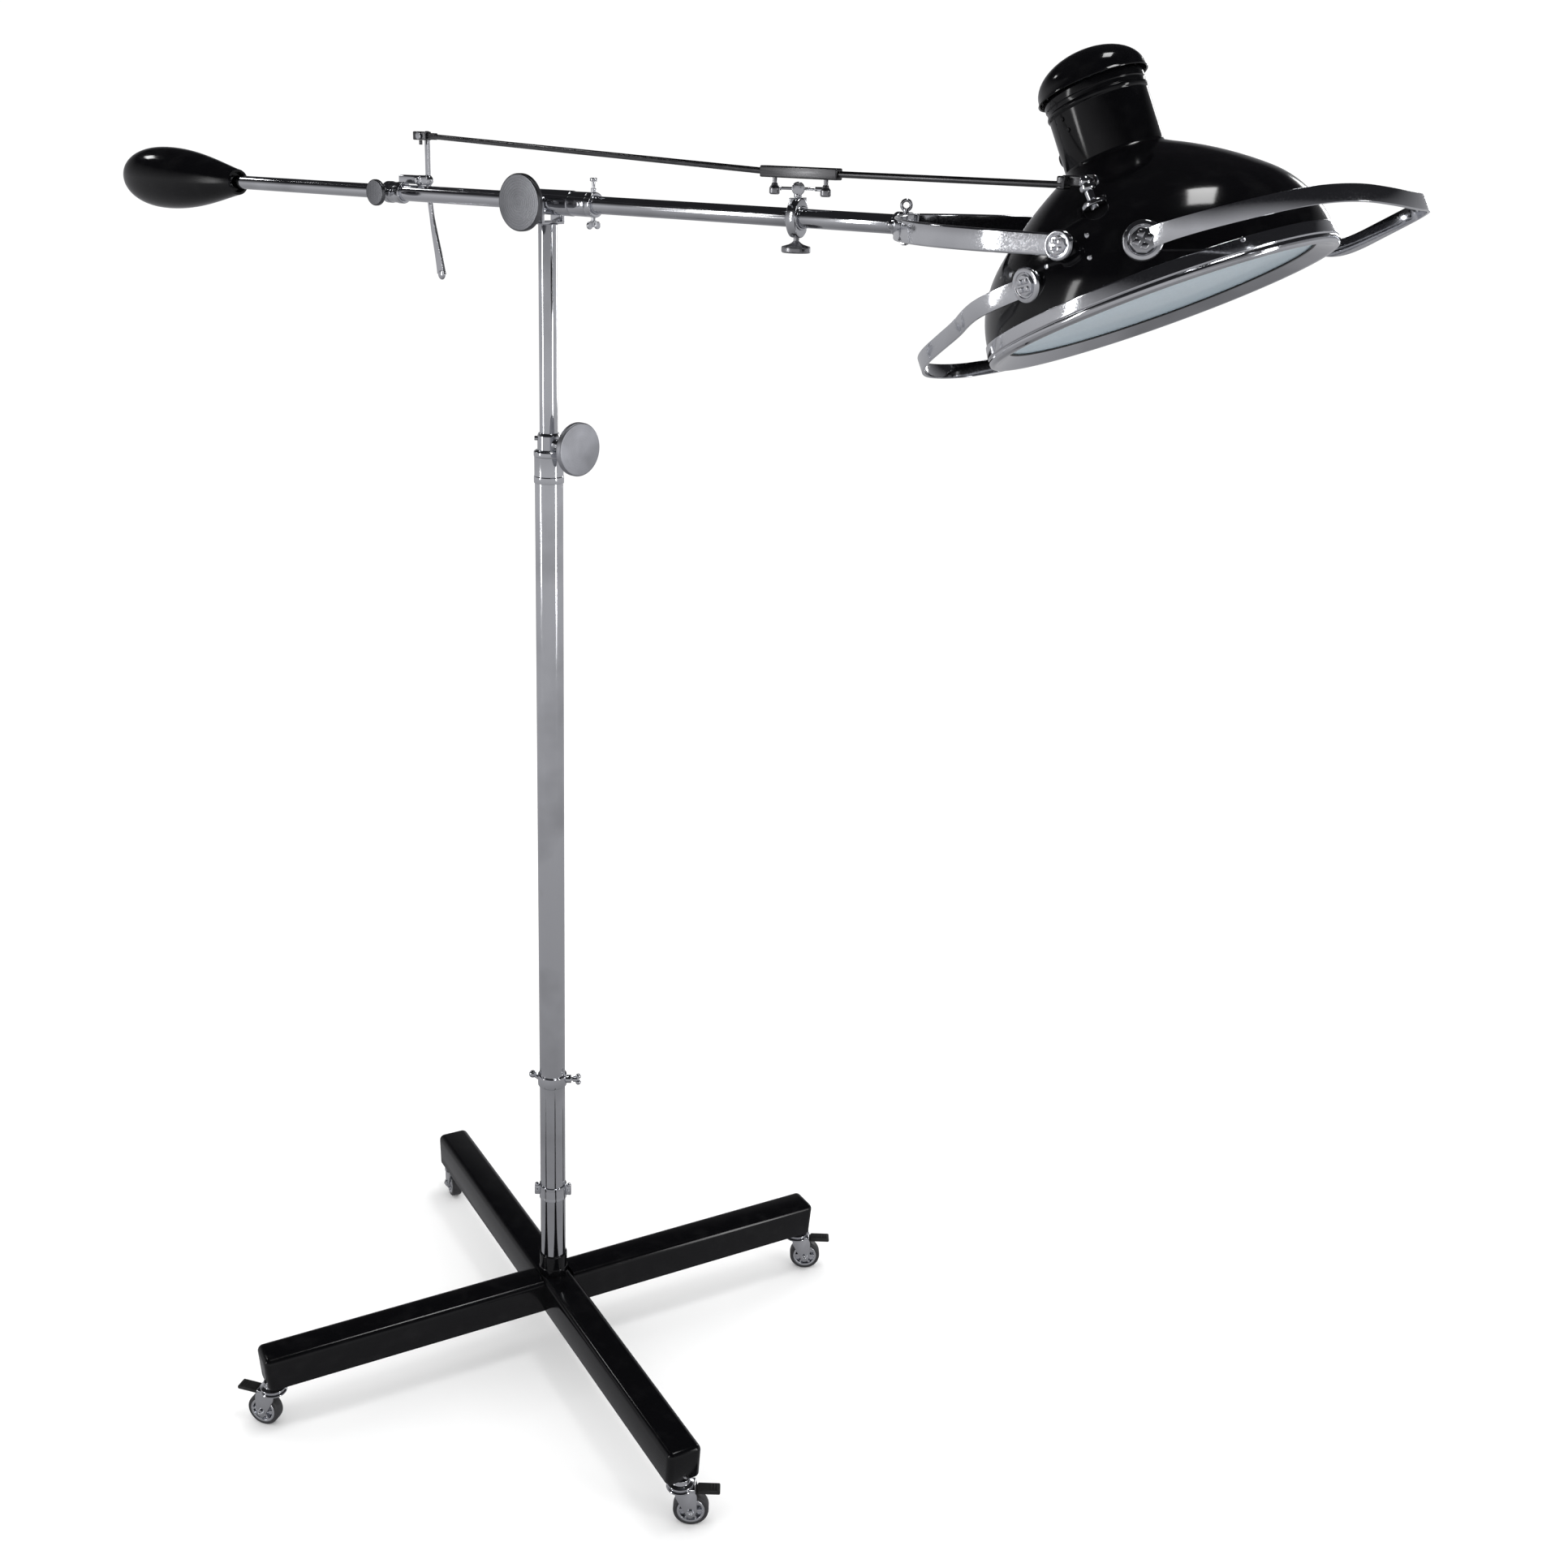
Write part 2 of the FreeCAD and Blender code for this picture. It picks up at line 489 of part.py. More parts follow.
def build_arm_clamp(clamp_x):
    outer = BOOM_OUTER / 2
    rear = clamp_x - CLAMP_LENGTH / 2
    front = clamp_x + CLAMP_LENGTH / 2
    ring = Part.Ellipse(boom(rear, 0, CLAMP_HEIGHT / 2), boom(rear, CLAMP_WIDTH / 2, 0), boom(rear))
    body = Part.Face(Part.Wire(ring.toShape())).extrude(X * (front - rear))
    body = body.cut(rod(outer, boom(rear - 1), boom(front + 1)))
    body = body.cut(rod(3.5 + RUN, boom(clamp_x, 0, -CLAMP_HEIGHT), boom(clamp_x)))
    body = body.cut(rod(3.5 + RUN, boom(clamp_x), boom(clamp_x, 0, CLAMP_HEIGHT)))
    keep("arm_clamp", body)
    keep("arm_clamp_knob", disc_knob(boom(clamp_x), Z * -1, 41.0, BOOM_BORE / 2 + TIP_GAP, 36.0, 8.0, 3.5))
    stem = rod(3.5, boom(clamp_x, 0, outer + TIP_GAP), boom(clamp_x, 0, 30))
    eye = rod(8.0, boom(clamp_x, 0, 34) - polar(4, CLIP_YAW), boom(clamp_x, 0, 34) + polar(4, CLIP_YAW))
    half_bar = polar(34, CLIP_YAW)
    bar = rod(1.8, boom(clamp_x, 0, 34) - half_bar, boom(clamp_x, 0, 34) + half_bar)
    keep("arm_clamp_eye", stem.fuse(eye).cut(bar), bar)


# ================================================================ counterweight
def weight_outline(shrink):
    """Teardrop outline as (radius, distance from the blunt end)."""
    big = WEIGHT_RADIUS - shrink
    neck = WEIGHT_NECK - shrink
    waist = WEIGHT_LENGTH * 0.36
    points = []
    for step in range(9):
        angle = math.radians(90.0 * step / 8)
        points.append((big * math.sin(angle), waist - (waist - shrink) * math.cos(angle) ** 1.15))
    for step in range(1, 9):
        part = step / 8
        blend = math.cos(math.pi / 2 * part) ** 1.25 if part < 1 else 0.0
        points.append((neck + (big - neck) * blend, waist + (WEIGHT_LENGTH - waist) * part))
    return points


def smooth_turned(points, closing):
    """Revolve a smooth curve through the points, closed by straight lines, about the boom axis."""
    def place(r, s):
        return boom(WEIGHT_END + s, 0, r)
    curve = Part.BSplineCurve()
    curve.interpolate([place(r, s) for r, s in points])
    corners = [place(*points[-1])] + [place(r, s) for r, s in closing] + [place(*points[0])]
    edges = [curve.toShape()]
    for first, second in zip(corners, corners[1:]):
        edges.append(Part.makeLine(first, second))
    return Part.Face(Part.Wire(edges)).revolve(boom(0), X, 360)


def build_counterweight():
    bore = BOOM_BORE / 2 - RUN
    body = smooth_turned(weight_outline(0.0), [(0.0, WEIGHT_LENGTH)])
    hollow = smooth_turned(weight_outline(WEIGHT_WALL), [(0.0, WEIGHT_LENGTH)])
    mouth_rear = WEIGHT_END + WEIGHT_LENGTH - 2
    mouth = rod(WEIGHT_NECK - WEIGHT_WALL, boom(mouth_rear), boom(mouth_rear + 3))
    shell = body.cut(hollow).cut(mouth)
    rod_end = WEIGHT_END + 20.0
    slug = rod(60.0, boom(WEIGHT_END + 60), boom(WEIGHT_END + 60 + BALLAST_LENGTH)).common(hollow)
    shaft = rod(bore, boom(rod_end), boom(ROD_INNER_END))
    keep("counterweight_shell", shell)
    keep("counterweight_ballast", slug.cut(shaft))
    keep("counterweight_rod", shaft)


# ================================================================ arm extension and yoke
def prong(side):
    """One prong: an arc out of the collar that ends in a straight run at the pivot."""
    mouth = 9.0
    root = YOKE_COLLAR_REAR + YOKE_COLLAR_LENGTH
    bend = SHADE_PIVOT - PRONG_STRAIGHT
    width = YOKE_INSIDE - mouth
    radius = ((bend - root) ** 2 + width ** 2) / (2 * width)
    centre = V(bend, YOKE_INSIDE - radius, 0)
    sweep = math.degrees(math.asin((bend - root) / radius))
    inner = [centre + polar(radius, 90 + sweep * k / 2) for k in range(3)]
    outer = [centre + polar(radius + YOKE_THICKNESS, 90 + sweep * k / 2) for k in range(3)]
    ends = [V(SHADE_PIVOT, YOKE_INSIDE, 0), V(SHADE_PIVOT, YOKE_INSIDE + YOKE_THICKNESS, 0)]
    wire = Part.Wire([Part.makeLine(ends[0], inner[0]), Part.Arc(*inner).toShape(),
                      Part.makeLine(inner[2], outer[2]), Part.Arc(*outer[::-1]).toShape(),
                      Part.makeLine(outer[0], ends[1]), Part.makeLine(ends[1], ends[0])])
    bar = moved(Part.Face(wire).extrude(Z * PRONG_HEIGHT), V(0, 0, PIVOT_HEIGHT - PRONG_HEIGHT / 2))
    face = boom(SHADE_PIVOT, YOKE_INSIDE)
    bar = bar.fuse(rod(PRONG_BOSS / 2, face, face + Y * YOKE_THICKNESS))
    bar = bar.cut(rod(YOKE_BOLT / 2 + RUN, face - Y, face + Y * (YOKE_THICKNESS + 1)))
    bar = bar.cut(box(V(0, -1, 0), V(root, 400, 2 * PIVOT_HEIGHT)))
    return bar.removeSplitter() if side > 0 else bar.mirror(ORIGIN, Y).removeSplitter()


def build_extension():
    outer = BOOM_OUTER / 2
    tube_rear = BOOM_FRONT + FACE_GAP
    collar_front = YOKE_COLLAR_REAR + YOKE_COLLAR_LENGTH
    spigot = rod(BOOM_BORE / 2 - RUN, boom(BOOM_FRONT - SPIGOT_INSIDE), boom(BOOM_FRONT + 40))
    tube_front = YOKE_COLLAR_REAR + 9
    extension = rod(outer, boom(tube_rear), boom(tube_front))
    extension = extension.cut(rod(BOOM_BORE / 2 - 2, boom(BOOM_FRONT + 39), boom(tube_front)))
    keep("extension_tube", extension.fuse(spigot).removeSplitter())
    collar = rod(YOKE_COLLAR_OUTER / 2, boom(YOKE_COLLAR_REAR), boom(collar_front))
    nose = box(boom(collar_front - 4, -16, -PRONG_HEIGHT / 2), boom(collar_front, 16, PRONG_HEIGHT / 2))
    collar = collar.fuse(nose).cut(rod(outer, boom(YOKE_COLLAR_REAR - 1), boom(tube_front)))
    screw_x = YOKE_COLLAR_REAR + 13.0
    hole = rod(3.0 + RUN, boom(screw_x, 0, -20), boom(screw_x, 0, 20))
    keep("yoke_collar", collar.cut(hole).removeSplitter())
    keep("yoke_prong_near", prong(-1))
    keep("yoke_prong_far", prong(1))
    eye = Part.makeTorus(5.5, 2.0, boom(screw_x, 0, 22), polar(1, CLIP_YAW + 90))
    screw = rod(3.0, boom(screw_x, 0, -23), boom(screw_x, 0, 15.5))
    nut = rod(5.5, boom(screw_x, 0, -22), boom(screw_x, 0, -16))
    waist = rod(2.6, boom(screw_x, 0, 15), boom(screw_x, 0, 18))
    keep("yoke_eye_screw", screw.fuse(waist).fuse(eye).fuse(nut).removeSplitter())


# ================================================================ shade
def dome_arcs(offset):
    """Meridian of the dome moved inwards: side arc from the rim, then the flatter crown arc."""
    ring = DOME_RADIUS
    drop = SHOULDER[1] - DOME_FOOT
    side = ((ring - SHOULDER[0]) ** 2 + drop ** 2) / (2 * (ring - SHOULDER[0]))
    low = V(ring - side, 0, DOME_FOOT)
    shoulder = V(SHOULDER[0], 0, SHOULDER[1])
    normal = (shoulder - low).normalize()
    across = shoulder - V(NECK_RADIUS, 0, NECK_FOOT)
    crown = across.dot(across) / (2 * across.dot(normal))
    high = shoulder - normal * crown
    neck = (V(NECK_RADIUS, 0, NECK_FOOT) - high).normalize()
    side -= offset
    crown -= offset
    rim = low + X * side
    knee = low + normal * side
    top = high + neck * crown
    first = Part.Arc(rim, low + (X + normal).normalize() * side, knee).toShape()
    second = Part.Arc(knee, high + (normal + neck).normalize() * crown, top).toShape()
    return first, second, rim, top


def dome_sheet():
    outer = dome_arcs(0.0)
    inner = dome_arcs(SHEET)
    wire = Part.Wire([outer[0], outer[1], Part.makeLine(outer[3], inner[3]), inner[1], inner[0],
                      Part.makeLine(inner[2], outer[2])])
    return Part.Face(wire).revolve(ORIGIN, Z, 360)


def dome_mass():
    """The dome as a full body, to trim what stands on its outside."""
    side, crown, rim, top = dome_arcs(0.0)
    peak = V(0, 0, top.z)
    foot = V(0, 0, rim.z)
    middle = Part.makeLine(peak, foot)
    wire = Part.Wire([side, crown, Part.makeLine(top, peak), middle, Part.makeLine(foot, rim)])
    return Part.Face(wire).revolve(ORIGIN, Z, 360)


def neck_shell():
    outer = NECK_RADIUS
    inner = NECK_RADIUS - SHEET
    return turned([(inner, NECK_FOOT - 1), (outer, NECK_FOOT), (outer, NECK_BEAD - 3),
                   (outer + 1.6, NECK_BEAD), (outer, NECK_BEAD + 3), (outer, NECK_TOP), (inner, NECK_TOP)])


def cap_curve(offset):
    steps = [math.radians(90.0 * k / 9) for k in range(10)]
    radius = CAP_RADIUS - offset
    rise = CAP_RISE - offset
    return [(radius * math.sin(q), CAP_FOOT + rise * math.cos(q)) for q in steps]


def cap_shell():
    rim = [(CAP_RADIUS, CAP_FOOT - 4), (CAP_RADIUS - SHEET, CAP_FOOT - 4)]
    return turned(cap_curve(0.0) + rim + cap_curve(SHEET)[::-1])


def neck_with_posts():
    """Neck tube with four strips inside that carry the cap."""
    neck = neck_shell()
    inner = NECK_RADIUS - SHEET
    walls = [(0.0, NECK_FOOT), (inner + 0.2, NECK_FOOT), (inner + 0.2, CAP_FOOT)]
    room = turned(walls + cap_curve(SHEET)[::-1])
    for index in range(4):
        strip = box(V(inner - 2, -5, NECK_TOP - 15), V(inner + 0.2, 5, CAP_FOOT + CAP_RISE))
        neck = neck.fuse(spun(strip, 45 + 90 * index).common(room))
    return neck.removeSplitter()


def rim_ring():
    inner = RING_RADIUS - RING_WALL
    return turned([(inner, RING_TOP), (RING_RADIUS, RING_TOP), (RING_RADIUS, RING_FOOT + 2),
                   (RING_RADIUS - 2, RING_FOOT), (RING_RADIUS - 6, RING_FOOT),
                   (LENS_OPENING, LENS_SEAT - 1.6), (LENS_OPENING, LENS_SEAT),
                   (LENS_RADIUS + 4, LENS_SEAT), (inner - 3, RING_FOOT + 4), (inner, RING_FOOT + 6)])


def round_the_shade(angle, radius, height, side):
    """A point on the outside of the shade, on the near (-1) or the far (1) side."""
    return V(radius * math.cos(math.radians(angle)), side * radius * math.sin(math.radians(angle)), height)


def side_radius(height):
    ring = DOME_RADIUS
    drop = SHOULDER[1] - DOME_FOOT
    side = ((ring - SHOULDER[0]) ** 2 + drop ** 2) / (2 * (ring - SHOULDER[0]))
    return ring - side + math.sqrt(side ** 2 - (height - DOME_FOOT) ** 2)


def loop_edges(span, reach, start):
    """Half a racetrack, from one bolt round the tip to the other, as edges in the plane z = 0."""
    bend = 0.95 * span
    straight = V(reach - bend, 0, 0)
    knee = bend * math.sqrt(0.5)
    near = [V(start, -span, 0), straight + V(0, -span, 0), straight + V(knee, -span + bend - knee, 0),
            V(reach, -span + bend, 0)]
    far = [V(p.x, -p.y, 0) for p in near[::-1]]
    edges = [Part.makeLine(near[0], near[1]), Part.Arc(*near[1:]).toShape(), Part.makeLine(near[3], far[0]),
             Part.Arc(*far[:3]).toShape(), Part.makeLine(far[2], far[3])]
    return edges, near[0], far[3]


def handle(bolt, tip, sign):
    """A band on edge, bent to a loop and hung between two bolts."""
    radius = side_radius(bolt[1])
    start = radius * math.cos(math.radians(bolt[0])) * sign
    span = radius * math.sin(math.radians(bolt[0]))
    fall = math.degrees(math.atan2(bolt[1] - tip[1], tip[0] - start))
    reach = start + math.hypot(tip[0] - start, bolt[1] - tip[1])
    inner, inner_near, inner_far = loop_edges(span, reach - HANDLE_THICKNESS, start)
    outer, outer_near, outer_far = loop_edges(span + HANDLE_THICKNESS, reach, start)
    wire = Part.Wire(inner + [Part.makeLine(inner_far, outer_far)] + outer[::-1]
                     + [Part.makeLine(outer_near, inner_near)])
    loop = moved(Part.Face(wire).extrude(Z * HANDLE_WIDTH), Z * (-HANDLE_WIDTH / 2))
    loop = spun(loop, fall, V(start, 0, 0), Y)
    if sign < 0:
        loop = spun(loop, 180)
    return moved(loop, Z * bolt[1])


def radial_bolt(angle, height, side, head, shank, inside=9.0):
    """A domed rosette on the outside of the shade with its nut inside."""
    radius = side_radius(height)
    out = round_the_shade(angle, 1.0, 0.0, side)
    centre = Z * height
    stud = rod(shank, centre + out * (radius - inside), centre + out * (radius + head[1]))
    nut = rod(shank * 1.8, centre + out * (radius - inside), centre + out * (radius - 1))
    seat = centre + out * (radius + HANDLE_THICKNESS - 1)
    cover = Part.makeCone(head[0] / 2, head[0] / 2 - 3, head[1] + 1, seat, out)
    return stud.fuse(nut).fuse(cover)


def shade_bolts(solid, handles):
    """Four handle rosettes, and two pivot bolts that reach out through the yoke prongs."""
    bolts = []
    for side in (-1, 1):
        for angle, height in (FRONT_BOLT, REAR_BOLT):
            bolts.append(radial_bolt(angle, height, side, ROSETTE, 4.0))
    pieces = []
    for bolt in bolts:
        for piece in handles:
            bolt = bolt.cut(piece)
        pieces.append(bolt)
    for side in (-1, 1):
        face = YOKE_INSIDE + YOKE_THICKNESS + FACE_GAP
        pin = rod(YOKE_BOLT / 2, V(0, side * (side_radius(0) - 9), 0), V(0, side * (face + 4), 0))
        nut = rod(9.0, V(0, side * (side_radius(0) - 9), 0), V(0, side * (side_radius(0) - 1), 0))
        washer = rod(11.0, V(0, side * (side_radius(0) - 3), 0), V(0, side * (YOKE_INSIDE - FACE_GAP), 0))
        rosette = rod(PRONG_BOSS / 2 - 1, V(0, side * face, 0), V(0, side * (face + 4), 0))
        pieces.append(pin.fuse(nut).fuse(washer).fuse(rosette))
    return [piece.cut(solid).removeSplitter() for piece in pieces]


def shade_stud():
    """Foot plate on the dome and the stud that carries the link's pin, in the head's own frame."""
    turn = math.radians(SHADE_TILT)
    pin = V(CRANK * math.sin(turn), LINK_Y, CRANK * math.cos(turn))
    foot = V(pin.x + 4, LINK_Y - 3, SHOULDER[1])
    post = rod(5.0, foot, pin).fuse(Part.makeSphere(6.5, pin))
    plate = rod(13.0, foot, foot + (pin - foot).normalize() * 12)
    plate = plate.cut(dome_shift(3.0))
    stud = post.fuse(rod(LINK_PIN / 2, pin, pin + Y * (LINK_END + 3)))
    stud = stud.fuse(rod(LINK_PIN, pin + Y * (LINK_END + 3), pin + Y * (LINK_END + 6)))
    return stud.fuse(plate).cut(dome_mass()).removeSplitter()


def dome_shift(lift):
    """Everything more than a little above the dome."""
    outside = rod(DOME_RADIUS * 1.5, V(0, 0, DOME_FOOT), V(0, 0, 2 * NECK_FOOT))
    return outside.cut(moved(dome_mass(), Z * lift))


def build_shade():
    mass = dome_mass()
    dome = dome_sheet()
    front = handle(FRONT_BOLT, FRONT_TIP, 1).cut(mass)
    rear = handle(REAR_BOLT, REAR_TIP, -1).cut(mass)
    bolts = shade_bolts(dome, (front, rear))
    for bolt in bolts:
        dome = dome.cut(bolt)
    neck = neck_with_posts()
    keep("shade_dome", on_head(dome))
    keep("shade_bolts", *[on_head(bolt) for bolt in bolts])
    keep("handle_front", on_head(front))
    keep("handle_rear", on_head(rear))
    keep("rim_ring", on_head(rim_ring()))
    keep("lens_glass", on_head(rod(LENS_RADIUS, Z * LENS_SEAT, Z * (LENS_SEAT + LENS_THICKNESS))))
    keep("vent_cap", on_head(cap_shell()))
    keep("link_stud", on_head(shade_stud()))
    build_lamp(neck)


def build_lamp(neck):
    """Lamp holder hung from a bridge in the neck, its bulb, and the cord's grommet."""
    inner = NECK_RADIUS - SHEET
    bridge = box(V(-inner - 1, -7, HOLDER_TOP), V(inner + 1, 7, HOLDER_TOP + 3)).common(
        rod(inner, Z * NECK_FOOT, Z * NECK_TOP))
    holder = tube(HOLDER_RADIUS, HOLDER_RADIUS - 4, Z * (HOLDER_TOP - HOLDER_LENGTH), Z * (HOLDER_TOP - 8))
    holder = holder.fuse(rod(HOLDER_RADIUS, Z * (HOLDER_TOP - 10), Z * (HOLDER_TOP + 1))).fuse(bridge)
    keep("lamp_holder", on_head(holder.removeSplitter()))
    throat = HOLDER_RADIUS - 4
    foot = HOLDER_TOP - HOLDER_LENGTH
    bulb = rod(throat, Z * (foot - 4), Z * (HOLDER_TOP - 10))
    bulb = bulb.fuse(Part.makeCone(BULB_RADIUS * 0.8, throat, 38, Z * (foot - 40)))
    bulb = bulb.fuse(Part.makeSphere(BULB_RADIUS, Z * (foot - BULB_LENGTH + BULB_RADIUS)))
    keep("bulb", on_head(bulb.removeSplitter()))
    out = round_the_shade(180, 1.0, 0.0, 1)
    body = rod(7.0, Z * 112 + out * (inner - 3), Z * 112 + out * (NECK_RADIUS + 5))
    bore = rod(3.5, Z * 112 + out * (inner - 4), Z * 112 + out * (NECK_RADIUS + 6))
    keep("cable_gland", on_head(body.cut(bore)))
    keep("shade_neck", on_head(neck.cut(body)))


# ================================================================ lever and link
def flat_bar(points, width, low, thickness):
    """A flat bar with round ends through points in the XZ plane, between two faces in Y."""
    shape = None
    for start, end in zip(points, points[1:]):
        along = (end - start).normalize()
        across = V(-along.z, 0, along.x) * (width / 2)
        corners = [start + across, end + across, end - across, start - across, start + across]
        piece = moved(Part.Face(Part.makePolygon(corners)).extrude(Y * thickness), Y * low)
        for point in (start, end):
            piece = piece.fuse(rod(width / 2, point + Y * low, point + Y * (low + thickness)))
        shape = piece if shape is None else shape.fuse(piece)
    return shape


def build_lever():
    pivot = boom(LEVER_X, 0, LEVER_RISE)
    top = pivot + Z * CRANK
    hand = pivot + V(LEVER_HAND[0], 0, LEVER_HAND[1])
    grip = pivot + V(LEVER_HAND[0], 0, LEVER_HAND[1]) * 0.78
    bar = flat_bar([top, pivot, grip], LEVER_WIDTH, LEVER_Y, LEVER_THICKNESS)
    bar = bar.fuse(flat_bar([grip, hand], LEVER_WIDTH * 2, LEVER_Y, LEVER_THICKNESS))
    for point, radius in ((top, 6.5), (pivot, 7.5)):
        bar = bar.fuse(rod(radius, point + Y * LEVER_Y, point + Y * (LEVER_Y + LEVER_THICKNESS)))
    hole = rod(LEVER_PIN / 2 + RUN, pivot, pivot + Y * 40)
    pin = rod(LEVER_PIN / 2, top + Y * 2, top + Y * (LEVER_Y + LEVER_THICKNESS))
    head = rod(LEVER_PIN, top + Y * 1.5, top + Y * 4.5)
    keep("control_lever", bar.fuse(pin).fuse(head).cut(hole).removeSplitter())


def build_link():
    rear_pin = boom(LEVER_X, 0, LEVER_RISE + CRANK)
    low_y = 4.5 + FACE_GAP
    high_y = LEVER_Y - FACE_GAP
    coupler = boom(COUPLER_REAR, LINK_Y, COUPLER_RISE)
    half = COUPLER_SIZE / 2
    block = box(rear_pin + V(-8, low_y, -LINK_END / 2), rear_pin + V(10, high_y, LINK_END / 2))
    block = block.cut(rod(LEVER_PIN / 2 + RUN, rear_pin, rear_pin + Y * 40))
    start = rear_pin + V(9, (low_y + high_y) / 2, 0)
    body = box(coupler + V(0, -half, -half), coupler + V(COUPLER_LENGTH, half, half))
    link = block.fuse(rod(LINK_ROD / 2, start, coupler + X * 4)).fuse(body)
    link = link.cut(rod(LINK_ROD / 2 + RUN, coupler + X * (COUPLER_LENGTH - FRONT_ROD_INSIDE - 5),
                        coupler + X * (COUPLER_LENGTH + 1)))
    for index in range(2):
        at = coupler + X * COUPLER_LENGTH * (1 + 4 * index) / 6
        link = link.cut(rod(2.5 + RUN, at, at - Z * 20))
        gap = LINK_ROD / 2 + TIP_GAP if index else half - 4
        shank = rod(2.5, at - Z * gap, at - Z * (half + 10))
        keep("link_screw_" + str(index + 1), shank.fuse(rod(6.0, at - Z * (half + 10), at - Z * (half + 18))))
    keep("link_rear", link.removeSplitter())

    end = boom(SHADE_PIVOT, 0, CRANK)
    eye_low = LINK_Y + LINK_PIN
    eye = box(end + V(-30, eye_low, -LINK_END / 2), end + V(0, eye_low + 6, LINK_END / 2))
    eye = eye.fuse(rod(LINK_END / 2 + 1, end + Y * eye_low, end + Y * (eye_low + 6)))
    rod_front = V(end.x - 24, coupler.y, coupler.z)
    front = rod(LINK_ROD / 2, coupler + X * (COUPLER_LENGTH - FRONT_ROD_INSIDE), rod_front)
    neck = box(V(end.x - 30, LINK_Y - 3, coupler.z - 4), V(end.x - 22, eye_low + 6, end.z + LINK_END / 2))
    front = front.fuse(neck).fuse(eye)
    hole = rod(LINK_PIN / 2 + OPEN_PIVOT, end + Y * (eye_low - 1), end + Y * (eye_low + 7))
    keep("link_front", front.cut(hole).removeSplitter())


def build_all():
    build_base()
    build_mast()
    build_mast_clips()
    build_tee()
    build_boom()
    build_counterweight()
    build_extension()
    build_shade()
    build_lever()
    build_link()
    save_all()


build_all()
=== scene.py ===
import json
import math

import bmesh
import bpy
from bpy.props import FloatProperty, FloatVectorProperty, IntProperty, PointerProperty
from bpy.types import Operator, Panel, PropertyGroup
from mathutils import Matrix, Vector


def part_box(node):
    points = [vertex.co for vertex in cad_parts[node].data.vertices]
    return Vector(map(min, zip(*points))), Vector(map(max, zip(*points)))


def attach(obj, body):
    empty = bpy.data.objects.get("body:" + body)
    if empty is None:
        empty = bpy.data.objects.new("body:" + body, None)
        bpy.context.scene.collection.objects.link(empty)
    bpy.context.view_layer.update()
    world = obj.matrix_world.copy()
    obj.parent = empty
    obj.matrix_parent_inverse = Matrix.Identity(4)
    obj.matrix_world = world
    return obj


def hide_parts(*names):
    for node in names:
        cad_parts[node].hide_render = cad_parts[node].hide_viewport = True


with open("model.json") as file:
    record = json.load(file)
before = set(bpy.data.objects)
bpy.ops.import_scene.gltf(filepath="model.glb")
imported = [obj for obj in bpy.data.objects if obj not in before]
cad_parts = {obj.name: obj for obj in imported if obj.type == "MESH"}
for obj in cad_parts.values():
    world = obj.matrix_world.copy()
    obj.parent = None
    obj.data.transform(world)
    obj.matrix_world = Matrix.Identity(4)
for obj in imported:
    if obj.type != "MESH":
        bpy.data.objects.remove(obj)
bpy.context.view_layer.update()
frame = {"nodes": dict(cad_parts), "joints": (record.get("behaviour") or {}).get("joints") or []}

bl_info = {
    "name": "Examination Lamp",
    "version": (1, 0, 0),
    "blender": (4, 5, 0),
    "location": "View3D > Sidebar > Lamp",
    "description": "Builds a counterbalanced boom lamp on a castered cross base",
    "category": "Add Mesh",
}

MM = 0.001
UP = Vector((0, 0, 1))
ACROSS = Vector((0, 1, 0))
ALONG = Vector((1, 0, 0))


def joint(name):
    """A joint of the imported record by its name."""
    return next(j for j in frame["joints"] if j["name"] == name)


def pivot(name):
    return Vector(joint(name)["pos_m"])


def low(node):
    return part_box(node)[0]


def high(node):
    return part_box(node)[1]


BOOM = pivot("boom_tilt")
HEAD = pivot("shade_tilt")
SHADE_TILT = math.radians(25.2)
SHADE_UP = Vector((-math.sin(SHADE_TILT), 0, math.cos(SHADE_TILT)))
SHADE_OUT = Vector((math.cos(SHADE_TILT), 0, math.sin(SHADE_TILT)))
BASE_YAW = math.radians(-24)       # direction of the first base arm
EAR_YAW = math.radians(37)         # direction of the ears and hooks on the mast
ARM_REACH = 484 * MM               # mast axis to the end of a base arm
SOCKET_SEAM = 148 * MM             # height of the step in the mast socket
CASTER_TRAIL = 16 * MM             # swivel axis to axle
KNOB_THICKNESS = 10 * MM
BOOM_REAR, BOOM_FRONT, ARM_END = -296, 420, 564      # ends of the boom tube and of its extension
SHADE_SIDE = 865                   # boom axis to the shade's pivot, along the boom
LINK_SIDE = -140                   # middle of the link, across the boom
LINK_RISE = 60                     # top pivots of the link, above the boom axis
FLOOR_RADIUS, ROOM_RADIUS = 14.0, 13.0


# ---------------------------------------------------------------- settings
def length(name, description, millimetres):
    return FloatProperty(name=name, description=description, default=millimetres * MM, unit="LENGTH")


def tone(name, description, colour):
    return FloatVectorProperty(name=name, description=description, default=colour, size=3, subtype="COLOR")


